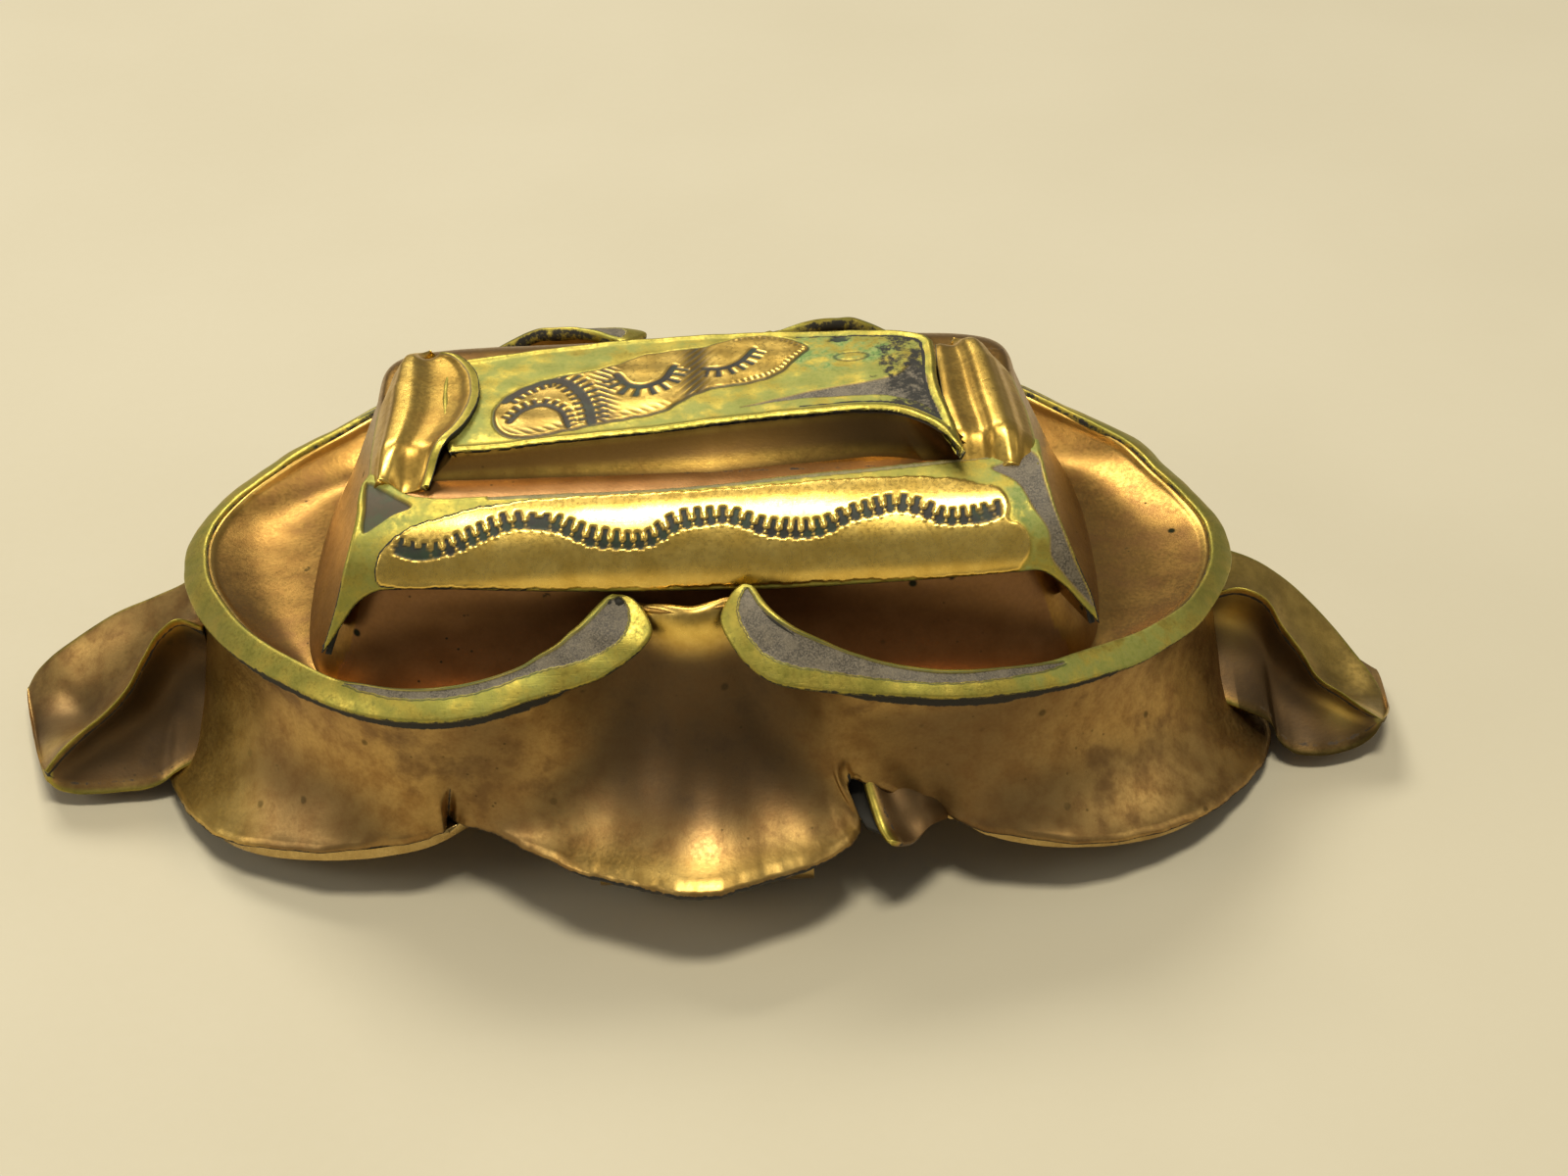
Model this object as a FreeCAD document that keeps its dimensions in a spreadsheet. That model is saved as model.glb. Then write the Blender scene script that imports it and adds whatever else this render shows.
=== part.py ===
# Locket brooch: a domed, stamped front on an arched back plate, with a hinged photograph compartment and a pin behind.
# Frame, in millimetres: +X to the wearer's left along the brooch, +Y up its short side, +Z out of the front.
# Z = 0 is the plane on which the tips of the two wings rest; X = Y = 0 is the middle of the brooch.
import FreeCAD, Part
import os, math
from FreeCAD import Vector as V, Placement, Rotation

doc = FreeCAD.newDocument("locket_brooch")
dims = doc.addObject("Spreadsheet::Sheet", "Dims")
CELLS = [
    # arches of the body, all on axes parallel to Y
    ("base_arch", 69.4), ("base_apex", 3.6), ("plate_thick", 0.4),
    ("dish_arch", 83.3), ("dish_apex", 7.6), ("dish_thick", 0.4),
    ("sheet_wall", 0.5), ("rim_thick", 0.5), ("enamel_deep", 0.22),
    # bar, bands and crest
    ("bar_foot_x", 13.1), ("bar_foot_y", 6.9), ("bar_mid_x", 12.1), ("bar_mid_y", 6.35),
    ("bar_top_x", 11.1), ("bar_top_y", 5.4), ("bar_foot_z", 6.0), ("bar_mid_z", 11.4), ("bar_top_z", 13.2),
    ("bar_wall", 0.45), ("band_half", 12.7),
    ("crest_foot_x", 9.3), ("crest_foot_y", 3.4), ("crest_top_x", 8.9), ("crest_top_y", 2.5),
    ("crest_top", 14.95), ("crest_wall", 0.3), ("crest_plate_thick", 0.35),
    ("strap_half", 3.6),
    # compartment, centred on locket_y
    ("locket_y", -1.8), ("well_a", 8.0), ("well_b", 5.0), ("well_wall", 0.3), ("well_roof", 4.2), ("well_low", 2.4),
    ("bezel_a", 9.3), ("bezel_b", 6.3), ("bezel_low", 2.15), ("bezel_high", 3.9),
    ("card_thick", 0.3), ("glass_thick", 0.45), ("glass_gap", 0.03), ("ring_wide", 0.6), ("ring_high", 0.4),
    ("door_a", 9.2), ("door_b", 6.2), ("door_low", 1.5), ("door_thick", 0.5),
    ("lip_a", 7.7), ("lip_b", 4.7), ("lip_wall", 0.35), ("lip_high", 0.55),
    ("hinge_y", -9.2), ("hinge_z", 1.75), ("knuckle_rad", 0.75), ("hinge_pin_rad", 0.3), ("hinge_play", 0.05),
    ("knuckle_in", 1.3), ("knuckle_out", 3.6), ("door_knuckle_half", 1.2),
    # pin, its hinge and catch
    ("pin_x", 12.5), ("pin_y", 6.8), ("pin_z", 1.2), ("pin_tilt", 25.0), ("stem_rad", 0.4),
    ("stem_from", 12.1), ("stem_to", -8.4), ("neck_to", -10.8), ("neck_rad", 0.22), ("point_to", -13.9),
    ("barrel_rad", 0.6), ("barrel_half", 0.5), ("ear_in", 0.58), ("ear_out", 1.3), ("rivet_rad", 0.25), ("rivet_play", 0.05),
    ("catch_x", -11.6), ("catch_wide", 1.6), ("catch_in", 0.6), ("catch_out", 0.86), ("catch_mouth", 45.0),
]
for i, (a, v) in enumerate(CELLS, 1):
    dims.set("A%d" % i, a)
    dims.set("B%d" % i, str(v))
    dims.setAlias("B%d" % i, a)
doc.recompute()
D = {a: float(getattr(dims, a)) for a, _ in CELLS}
NODES = []


def node(obj, label):
    obj.Label = label
    NODES.append((label, obj))
    return obj


def bind(obj, **ex):
    for k, e in ex.items():
        obj.setExpression(k.replace("__", "."), e)
    return obj


def feat(name, shape):
    o = doc.addObject("Part::Feature", name)
    o.Shape = shape
    return o


def cut(name, a, b):
    o = doc.addObject("Part::Cut", name)
    o.Base, o.Tool = a, b
    return o


def common(name, *objs):
    o = doc.addObject("Part::MultiCommon", name)
    o.Shapes = list(objs)
    return o


def fuse(name, *objs):
    o = doc.addObject("Part::MultiFuse", name)
    o.Shapes = list(objs)
    return o


def arch(name, radius, apex):
    """Long cylinder along Y whose crown line is at the apex height."""
    o = doc.addObject("Part::Cylinder", name)
    bind(o, Radius=radius)
    o.Height = 60
    o.Placement = Placement(V(0, 30, 0), Rotation(V(1, 0, 0), 90))
    o.setExpression("Placement.Base.z", "%s - (%s)" % (apex, radius))
    return o


def oval(name, a, b, low, high):
    """Elliptic block centred on the compartment, from one height to another."""
    e = doc.addObject("Part::Ellipse", name + "_line")
    bind(e, MajorRadius=a, MinorRadius=b)
    e.setExpression("Placement.Base.y", "Dims.locket_y")
    e.setExpression("Placement.Base.z", low)
    x = doc.addObject("Part::Extrusion", name)
    x.Base = e
    x.DirMode = "Custom"
    x.Dir = V(0, 0, 1)
    x.Solid = True
    x.setExpression("LengthFwd", "(%s) - (%s)" % (high, low))
    return x


def rod(name, rad, length, at, rot):
    """Cylinder with its base centre at a point, turned by a rotation from +Z."""
    o = doc.addObject("Part::Cylinder", name)
    bind(o, Radius=rad, Height=length)
    o.Placement = Placement(at, rot)
    return o


def rect_sketch(name, hx, hy, z):
    s = doc.addObject("Sketcher::SketchObject", name)
    p = [V(-9, -4, 0), V(9, -4, 0), V(9, 4, 0), V(-9, 4, 0)]
    import Sketcher
    for k in range(4):
        s.addGeometry(Part.LineSegment(p[k], p[(k + 1) % 4]), False)
    for k in range(4):
        s.addConstraint(Sketcher.Constraint("Coincident", k, 2, (k + 1) % 4, 1))
    s.addConstraint(Sketcher.Constraint("Horizontal", 0))
    s.addConstraint(Sketcher.Constraint("Horizontal", 2))
    s.addConstraint(Sketcher.Constraint("Vertical", 1))
    s.addConstraint(Sketcher.Constraint("Vertical", 3))
    s.addConstraint(Sketcher.Constraint("Symmetric", 0, 1, 1, 2, -1, 1))
    c = s.addConstraint(Sketcher.Constraint("DistanceX", 0, 1, 0, 2, 18.0))
    s.setExpression("Constraints[%d]" % c, "2 * (%s)" % hx)
    c = s.addConstraint(Sketcher.Constraint("DistanceY", 1, 1, 1, 2, 8.0))
    s.setExpression("Constraints[%d]" % c, "2 * (%s)" % hy)
    s.setExpression("Placement.Base.z", z)
    return s


def hip(name, rows):
    """Straight-sided loft through centred rectangles."""
    o = doc.addObject("Part::Loft", name)
    o.Sections = [rect_sketch("%s_s%d" % (name, k), *r) for k, r in enumerate(rows)]
    o.Solid = True
    o.Ruled = True
    return o


def plane(body, role):
    return [f for f in body.Origin.OriginFeatures if f.Role == role][0]


def pad_body(label, role, geoms, length, offset=None, mid=False, reverse=False):
    """Body with one sketch on an origin plane and one pad."""
    b = doc.addObject("PartDesign::Body", label + "_body")
    s = b.newObject("Sketcher::SketchObject", label + "_sketch")
    s.AttachmentSupport = [(plane(b, role), "")]
    s.MapMode = "FlatFace"
    if offset is not None:
        s.setExpression(".AttachmentOffset.Base.z", offset)
    for gm in geoms:
        s.addGeometry(gm, False)
    p = b.newObject("PartDesign::Pad", label + "_pad")
    p.Profile = s
    p.setExpression("Length", length)
    if mid:
        p.Midplane = True
    p.Reversed = reverse
    return b


def lines(pts):
    return [Part.LineSegment(V(*pts[k], 0), V(*pts[(k + 1) % len(pts)], 0)) for k in range(len(pts))]


# ---------------------------------------------------------------- body of the brooch
# Quarter outlines, from the middle of the long side to the middle of the short side.
TOP = [(0, -7.9), (1.2, -8.0), (2.0, -8.6), (2.8, -9.9), (4.4, -11.0), (6.9, -11.1), (8.7, -10.7), (12.4, -8.9),
       (15.2, -6.6), (17.5, -3.6), (18.4, 0)]
BASE = [(0, -12.5), (1.7, -12.3), (3.2, -11.8), (4.8, -10.9), (6.6, -9.6), (8.2, -8.4), (9.6, -9.3), (12.7, -9.8),
        (15.9, -8.6), (19.2, -4.9), (20.4, 0)]


def ring(quarter):
    """Whole outline from its front-right quarter, symmetric both ways."""
    q = list(quarter)
    a = q[:-1]
    out = [(x, y) for x, y in a]
    out += [(x, -y) for x, y in reversed(q[1:])]
    out += [(-x, -y) for x, y in a]
    out += [(-x, y) for x, y in reversed(q[1:])]
    return out


def z_base(x):
    return D["base_apex"] - D["base_arch"] + math.sqrt(D["base_arch"] ** 2 - x * x)


def z_top(x):
    return 9.8 - 0.0075 * x * x + 2.75 * math.exp(-(abs(x) / 4.2) ** 2.5)


def wall_point(t, b, s, inset):
    """Plan position on the hollowed side wall: s = 0 at the foot, 1 at the top."""
    bow = 0.8 * 4 * s * (1 - s)
    x, y = b[0] + (t[0] - b[0]) * s, b[1] + (t[1] - b[1]) * s
    n = math.hypot(x / 18.0 ** 1, y / 10.0)
    gx, gy = x / 324.0, y / 100.0
    gl = math.hypot(gx, gy) or 1.0
    k = bow + inset
    return x - gx / gl * k, y - gy / gl * k


def section(z, inset):
    pts = []
    for t, b in zip(ring(TOP), ring(BASE)):
        lo, hi = 0.0, 1.0
        for _ in range(40):
            s = 0.5 * (lo + hi)
            x, y = wall_point(t, b, s, inset)
            zz = z_base(x) + s * (9.8 - 0.0075 * x * x - z_base(x))
            if zz < z:
                lo = s
            else:
                hi = s
        x, y = wall_point(t, b, 0.5 * (lo + hi), inset)
        pts.append(V(x, y, z))
    c = Part.BSplineCurve()
    c.interpolate(pts, PeriodicFlag=True)
    return Part.Wire([c.toShape()])


LEVELS = [-1.0, 0.8, 2.4, 4.0, 5.6, 7.2, 8.8, 10.4, 14.0]
outer_solid = feat("wall_outer", Part.makeLoft([section(z, 0.0) for z in LEVELS], True, False))
inner_solid = feat("wall_inner", Part.makeLoft([section(z, D["sheet_wall"]) for z in LEVELS], True, False))


def over_profile(name, f, up, xs=None):
    """Prism along Y of everything between the curve z = f(x) and the curve raised by up (or a flat top)."""
    xs = xs or [-26 + 52 * k / 52.0 for k in range(53)]
    lo = Part.BSplineCurve()
    lo.interpolate([V(x, -20, f(x)) for x in xs])
    a, b = V(xs[0], -20, f(xs[0])), V(xs[-1], -20, f(xs[-1]))
    if callable(up):
        hi = Part.BSplineCurve()
        hi.interpolate([V(x, -20, f(x) + up(x)) for x in xs])
        c, d = V(a.x, -20, a.z + up(a.x)), V(b.x, -20, b.z + up(b.x))
        edges = [lo.toShape(), Part.makeLine(b, d), hi.toShape(), Part.makeLine(c, a)]
    else:
        c, d = V(a.x, -20, up), V(b.x, -20, up)
        edges = [lo.toShape(), Part.makeLine(b, d), Part.makeLine(d, c), Part.makeLine(c, a)]
    w = Part.Wire(Part.__sortEdges__(edges))
    return feat(name, Part.Face(w).extrude(V(0, 40, 0)))


above_rim = over_profile("above_rim", z_top, 30.0)
base_cyl = arch("base_cyl", "Dims.base_arch", "Dims.base_apex")
base_cyl_in = arch("base_cyl_in", "Dims.base_arch - Dims.plate_thick", "Dims.base_apex - Dims.plate_thick")

wall_ring = cut("wall_ring", outer_solid, inner_solid)
wall_open = cut("wall_open", wall_ring, above_rim)
node(cut("base_shell_cut", wall_open, base_cyl), "base_shell")

# Back plate: thin arched sheet, its edge standing just proud of the side wall's foot.
c = Part.BSplineCurve()
c.interpolate([V(x * 1.012, y * 1.02, -5) for x, y in ring(BASE)], PeriodicFlag=True)
plate_block = feat("plate_block", Part.Face(Part.Wire([c.toShape()])).extrude(V(0, 0, 14)))
plate_sheet = cut("plate_sheet", common("plate_dome", plate_block, base_cyl), base_cyl_in)
plate_hole = oval("plate_hole", "Dims.bezel_a", "Dims.bezel_b", "0", "Dims.bezel_high + 2")
node(cut("back_plate_cut", plate_sheet, plate_hole), "back_plate")

# Field: sunk sheet that meets the inside of the side wall.
dish_cyl = arch("dish_cyl", "Dims.dish_arch", "Dims.dish_apex")
dish_cyl_in = arch("dish_cyl_in", "Dims.dish_arch - Dims.dish_thick", "Dims.dish_apex - Dims.dish_thick")
node(cut("field_dish_cut", common("dish_dome", inner_solid, dish_cyl), dish_cyl_in), "field_dish")

# ---------------------------------------------------------------- scroll rims
RIM_OUT = [(2.0, -8.1), (2.0, -8.7), (2.8, -10.0), (4.4, -11.1), (6.9, -11.2), (8.7, -10.8), (12.4, -9.0), (15.3, -6.6),
           (17.6, -3.6), (18.5, 0), (17.6, 3.6), (15.3, 6.6), (12.4, 9.0), (8.9, 10.7), (6.6, 10.8), (4.6, 10.0),
           (3.9, 8.9), (3.9, 8.3)]
RIM_IN = [(4.4, 8.2), (5.6, 8.7), (7.2, 9.0), (9.2, 9.2), (12.2, 7.8), (14.7, 5.5), (16.6, 2.8), (17.3, 0),
          (16.6, -2.8), (14.7, -5.5), (12.2, -7.8), (9.2, -9.3), (7.0, -9.3), (5.0, -8.7), (3.4, -8.0), (2.5, -7.7)]


def spline_face(groups, z):
    edges = []
    for gpts in groups:
        pts = [V(x, y, z) for x, y in gpts]
        if len(pts) == 2:
            edges.append(Part.makeLine(*pts))
        else:
            b = Part.BSplineCurve()
            b.interpolate(pts)
            edges.append(b.toShape())
    return Part.Face(Part.Wire(edges))


rim_plan = spline_face([RIM_OUT, [RIM_OUT[-1], RIM_IN[0]], RIM_IN, [RIM_IN[-1], RIM_OUT[0]]], 4.0).extrude(V(0, 0, 12))
rim_layer = over_profile("rim_layer", z_top, lambda x: D["rim_thick"])
skin_layer = over_profile("skin_layer", lambda x: z_top(x) + D["rim_thick"] - D["enamel_deep"],
                          lambda x: D["enamel_deep"] + 0.5)
TEAR_F = [(2.35, -8.35), (2.9, -9.5), (4.4, -10.6), (6.8, -10.8), (9.0, -10.3), (10.6, -9.35)]
TEAR_FI = [(10.6, -9.35), (9.2, -9.75), (7.0, -9.8), (5.0, -9.2), (3.5, -8.5), (2.35, -8.35)]
TEAR_R = [(4.5, 8.6), (5.0, 9.7), (6.7, 10.4), (9.0, 10.1), (10.6, 9.3)]
TEAR_RI = [(10.6, 9.3), (9.2, 9.6), (7.2, 9.4), (5.6, 9.0), (4.5, 8.6)]
tears = Part.makeCompound([spline_face([TEAR_F, TEAR_FI], 4.0).extrude(V(0, 0, 12)),
                           spline_face([TEAR_R, TEAR_RI], 4.0).extrude(V(0, 0, 12))])
flip = Placement(V(0, 0, 0), Rotation(V(0, 0, 1), 0))


def mirrored(shape):
    return shape.mirror(V(0, 0, 0), V(1, 0, 0))


rim_block_r = feat("rim_block_r", rim_plan)
rim_block_l = feat("rim_block_l", mirrored(rim_plan))
tear_block_r = feat("tear_block_r", tears)
tear_block_l = feat("tear_block_l", mirrored(tears))
inlay_r = common("inlay_r", tear_block_r, skin_layer)
inlay_l = common("inlay_l", tear_block_l, skin_layer)
rim_full_r = common("rim_full_r", rim_block_r, rim_layer)
rim_full_l = common("rim_full_l", rim_block_l, rim_layer)
node(cut("right_scroll_rim_cut", rim_full_r, inlay_r), "right_scroll_rim")
node(cut("left_scroll_rim_cut", rim_full_l, inlay_l), "left_scroll_rim")
enamel_r = common("enamel_r", inlay_r, rim_full_r)
enamel_l = common("enamel_l", inlay_l, rim_full_l)
node(fuse("scroll_enamel_set", enamel_r, enamel_l), "scroll_enamel")

# ---------------------------------------------------------------- wings
# Folded leaf: three flutes between two ridges, falling from the side wall to the tip.
def wing_section(x, zs, ys, t):
    up = [V(x, y, z) for y, z in zip(ys, zs)]
    dn = [V(x, y * 0.97, z - t) for y, z in zip(reversed(ys), reversed(zs))]
    return Part.makePolygon(up + dn + [up[0]])


wing = Part.makeLoft([
    wing_section(17.2, [2.4, 6.2, 5.2, 6.2, 2.4], [-6.2, -4.2, 0.2, 4.6, 6.6], 0.5),
    wing_section(21.0, [1.1, 3.9, 3.1, 4.1, 1.3], [-5.4, -4.0, 0.2, 4.4, 5.9], 0.5),
    wing_section(24.6, [0.5, 1.1, 1.2, 1.6, 0.7], [-3.6, -3.1, 0.2, 3.3, 3.9], 0.5)], True, True)
right_raw = feat("wing_raw", wing)
node(cut("right_wing_cut", cut("right_wing_seat", right_raw, outer_solid), plate_sheet), "right_wing")
left_raw = feat("wing_raw_left", wing.mirror(V(0, 0, 0), V(1, 0, 0)))
node(cut("left_wing_cut", cut("left_wing_seat", left_raw, outer_solid), plate_sheet), "left_wing")

# ---------------------------------------------------------------- bar, bands, straps and crest
bar_out = hip("bar_out", [("Dims.bar_foot_x", "Dims.bar_foot_y", "Dims.bar_foot_z"),
                          ("Dims.bar_mid_x", "Dims.bar_mid_y", "Dims.bar_mid_z"),
                          ("Dims.bar_top_x", "Dims.bar_top_y", "Dims.bar_top_z"),
                          ("Dims.bar_top_x - 0.35", "4.5", "Dims.bar_top_z + 0.5")])
w = "Dims.bar_wall"
bar_in = hip("bar_in", [("Dims.bar_foot_x - %s" % w, "Dims.bar_foot_y - %s" % w, "Dims.bar_foot_z - 0.5"),
                        ("Dims.bar_mid_x - %s" % w, "Dims.bar_mid_y - %s" % w, "Dims.bar_mid_z"),
                        ("Dims.bar_top_x - 1.4 * %s" % w, "Dims.bar_top_y - 1.4 * %s" % w, "Dims.bar_top_z - 0.25")])
bar_hollow = cut("bar_hollow", bar_out, bar_in)
node(cut("bar_shell_cut", bar_hollow, dish_cyl), "bar_shell")


def strip_body(label, side, grow, length):
    out = [V(side * -4.5, 14.05 + grow, 0), V(side * (-6.25 - 0.7 * grow), 13.15 + 0.7 * grow, 0),
           V(side * (-6.85 - grow), 11.4, 0)]
    arc = Part.Arc(*out)
    chain = [out[2], V(side * -6.0, 11.4, 0), V(side * -5.0, 13.0, 0), V(side * -4.5, 13.4, 0), out[0]]
    geoms = [arc] + [Part.LineSegment(chain[k], chain[k + 1]) for k in range(4)]
    return pad_body(label, "YZ_Plane", geoms, length, mid=True)


hip_trim = hip("hip_trim", [("12.9", "9", "10"), ("10.9", "9", "15.2")])
TRI = [[(10.4, 14.6), (11.9, 14.6), (13.2, 11.2), (12.0, 11.2), (11.0, 13.2)],
       [(-10.4, 14.6), (-11.9, 14.6), (-13.2, 11.2), (-12.0, 11.2), (-11.0, 13.2)]]
tri_block = feat("tri_block", Part.makeCompound([
    Part.Face(Part.makePolygon([V(x, -9, z) for x, z in t] + [V(t[0][0], -9, t[0][1])])).extrude(V(0, 18, 0))
    for t in TRI]))
slivers = []
for label, side in (("front_band", 1), ("rear_band", -1)):
    full = strip_body(label + "_full", side, 0.0, "2 * Dims.band_half")
    core = strip_body(label + "_core", side, -0.2, "2 * Dims.band_half + 2")
    trimmed = common(label + "_trim", full, hip_trim)
    on_bar = cut(label + "_seat", trimmed, bar_out)
    skin = cut(label + "_skin", on_bar, core)
    sliver = common(label + "_enamel", skin, tri_block)
    node(cut(label + "_cut", on_bar, sliver), label)
    slivers.append(sliver)
node(fuse("bar_enamel_set", *slivers), "bar_enamel")

crest_out = hip("crest_out", [("Dims.crest_foot_x", "Dims.crest_foot_y", "13.7"),
                              ("Dims.crest_top_x", "Dims.crest_top_y", "Dims.crest_top")])
cw = "Dims.crest_wall"
crest_in = hip("crest_in", [("Dims.crest_foot_x - %s" % cw, "Dims.crest_foot_y - %s" % cw, "13.4"),
                            ("Dims.crest_top_x - %s" % cw, "Dims.crest_top_y - %s" % cw, "Dims.crest_top - 0.3")])
node(cut("crest_shell_cut", crest_out, crest_in), "crest_shell")


def horn_outline():
    c = [(-9.2, -2.95), (9.2, -2.95), (9.2, 2.95), (-9.2, 2.95)]
    mid = [(0, -2.65), (8.8, 0), (0, 2.65), (-8.8, 0)]
    return [Part.Arc(V(*c[k], 0), V(*mid[k], 0), V(*c[(k + 1) % 4], 0)) for k in range(4)]


crest_full = pad_body("crest_full", "XY_Plane", horn_outline(), "Dims.crest_plate_thick", "Dims.crest_top")
wedge = Part.makeCompound([
    Part.Face(Part.makePolygon([V(x * s, y * s, 15.1) for x, y in
                                [(2.5, -2.4), (8.5, -2.5), (8.5, -0.3), (7.6, -1.2), (2.5, -2.4)]])).extrude(V(0, 0, 1))
    for s in (1, -1)])
wedge_block = feat("wedge_block", wedge)
crest_inlay = common("crest_inlay", wedge_block, crest_full)
node(cut("crest_plate_cut", crest_full, wedge_block), "crest_plate")
node(crest_inlay, "crest_enamel")

for label, s in (("left_strap", -1), ("right_strap", 1)):
    pts = [V(s * 9.45, 13.7, 0), V(s * 10.05, 14.6, 0), V(s * 10.65, 13.7, 0)]
    g = [Part.Arc(*pts), Part.LineSegment(pts[2], pts[0])]
    node(pad_body(label, "XZ_Plane", g, "2 * Dims.strap_half", mid=True), label)

# ---------------------------------------------------------------- compartment in the back
well_out = oval("well_out", "Dims.well_a + Dims.well_wall", "Dims.well_b + Dims.well_wall",
                "Dims.well_low", "Dims.well_roof + Dims.well_wall")
well_in = oval("well_in", "Dims.well_a", "Dims.well_b", "Dims.well_low - 1", "Dims.well_roof")
node(cut("locket_well_cut", well_out, well_in), "locket_well")
bez_out = oval("bez_out", "Dims.bezel_a", "Dims.bezel_b", "Dims.bezel_low", "Dims.bezel_high")
bez_in = oval("bez_in", "Dims.well_a + Dims.well_wall", "Dims.well_b + Dims.well_wall",
              "Dims.bezel_low - 1", "Dims.bezel_high + 1")
node(cut("locket_bezel_cut", bez_out, bez_in), "locket_bezel")
gp = "Dims.glass_gap"
node(oval("photo_card_block", "Dims.well_a - %s" % gp, "Dims.well_b - %s" % gp,
          "Dims.well_roof - Dims.card_thick", "Dims.well_roof"), "photo_card")
node(oval("photo_glass_block", "Dims.well_a - %s" % gp, "Dims.well_b - %s" % gp,
          "Dims.well_roof - Dims.card_thick - Dims.glass_thick", "Dims.well_roof - Dims.card_thick"), "photo_glass")
ring_top = "Dims.well_roof - Dims.card_thick - Dims.glass_thick"
ring_out = oval("ring_out", "Dims.well_a", "Dims.well_b", "%s - Dims.ring_high" % ring_top, ring_top)
ring_in = oval("ring_in", "Dims.well_a - Dims.ring_wide", "Dims.well_b - Dims.ring_wide",
               "%s - Dims.ring_high - 1" % ring_top, "%s + 1" % ring_top)
node(cut("photo_rim_cut", ring_out, ring_in), "photo_rim")

# Door: plain oval cover with a raised inner lip, its barrel and its nail lip.
door_plate = oval("door_plate", "Dims.door_a", "Dims.door_b", "Dims.door_low", "Dims.door_low + Dims.door_thick")
lip_out = oval("lip_out", "Dims.lip_a", "Dims.lip_b", "Dims.door_low + 0.2",
               "Dims.door_low + Dims.door_thick + Dims.lip_high")
lip_in = oval("lip_in", "Dims.lip_a - Dims.lip_wall", "Dims.lip_b - Dims.lip_wall", "Dims.door_low",
              "Dims.door_low + Dims.door_thick + Dims.lip_high + 1")
node(fuse("locket_door_set", door_plate, cut("lip_ring", lip_out, lip_in)), "locket_door")

along_x = Rotation(V(0, 1, 0), 90)
hy, hz, kr = D["hinge_y"], D["hinge_z"], D["knuckle_rad"]


def x_rod(name, rad, x0, x1):
    o = doc.addObject("Part::Cylinder", name)
    bind(o, Radius=rad, Height="(%s) - (%s)" % (x1, x0))
    o.Placement = Placement(V(0, 0, 0), along_x)
    o.setExpression("Placement.Base.x", x0)
    o.setExpression("Placement.Base.y", "Dims.hinge_y")
    o.setExpression("Placement.Base.z", "Dims.hinge_z")
    return o


def boxed(name, x0, x1, y0, y1, z0, z1):
    o = doc.addObject("Part::Box", name)
    bind(o, Length="(%s) - (%s)" % (x1, x0), Width="(%s) - (%s)" % (y1, y0), Height="(%s) - (%s)" % (z1, z0))
    o.setExpression("Placement.Base.x", x0)
    o.setExpression("Placement.Base.y", y0)
    o.setExpression("Placement.Base.z", z0)
    return o


fixed = []
for tag, x0, x1 in (("a", "-Dims.knuckle_out", "-Dims.knuckle_in"), ("b", "Dims.knuckle_in", "Dims.knuckle_out")):
    fixed += [x_rod("fix_%s" % tag, "Dims.knuckle_rad", x0, x1),
              boxed("leaf_%s" % tag, x0, x1, "Dims.hinge_y - Dims.knuckle_rad", "Dims.hinge_y - 0.2",
                    "Dims.hinge_z", "Dims.base_apex")]
fixed_fuse = fuse("fixed_fuse", *fixed)
fixed_seat = cut("fixed_seat", fixed_fuse, plate_sheet)
pin_bore = x_rod("pin_bore", "Dims.hinge_pin_rad", "-9", "9")
above_plate = cut("above_plate", boxed("above_box", "-20", "20", "-14", "14", "0", "12"), base_cyl_in)
node(cut("door_fixed_knuckles_cut", cut("fixed_low", fixed_seat, above_plate), pin_bore), "door_fixed_knuckles")
node(x_rod("door_hinge_pin_rod", "Dims.hinge_pin_rad", "-Dims.knuckle_out - 0.15", "Dims.knuckle_out + 0.15"),
     "door_hinge_pin")
mk = fuse("mk", x_rod("mk_rod", "Dims.knuckle_rad", "-Dims.door_knuckle_half", "Dims.door_knuckle_half"),
          boxed("mk_leaf", "-Dims.door_knuckle_half", "Dims.door_knuckle_half", "Dims.hinge_y",
                "Dims.locket_y - Dims.door_b + 0.6", "Dims.door_low", "Dims.door_low + Dims.door_thick"))
mk_bore = x_rod("mk_bore", "Dims.hinge_pin_rad + Dims.hinge_play", "-9", "9")
node(cut("door_knuckle_cut", cut("mk_cut", mk, mk_bore), door_plate), "door_knuckle")
lip_y = "Dims.locket_y + Dims.door_b"
thumb = boxed("thumb", "-1.4", "1.4", "%s - 0.5" % lip_y, "%s + 0.55" % lip_y, "Dims.door_low + 0.08",
              "Dims.door_low + 0.42")
node(cut("door_thumb_lip_cut", thumb, door_plate), "door_thumb_lip")

# ---------------------------------------------------------------- pin, hinge and catch
tilt = math.radians(D["pin_tilt"])
ax = V(0, -math.cos(tilt), math.sin(tilt))
P0 = V(D["pin_x"], D["pin_y"], D["pin_z"])
to_ax = Rotation(V(0, 0, 1), ax)


def ax_rod(name, rad, s0, s1):
    return rod(name, rad, str(s1 - s0), P0 + ax * s0, to_ax)


ears = fuse("ears", ax_rod("ear_a", "Dims.barrel_rad", -D["ear_out"], -D["ear_in"]),
            ax_rod("ear_b", "Dims.barrel_rad", D["ear_in"], D["ear_out"]))
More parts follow.
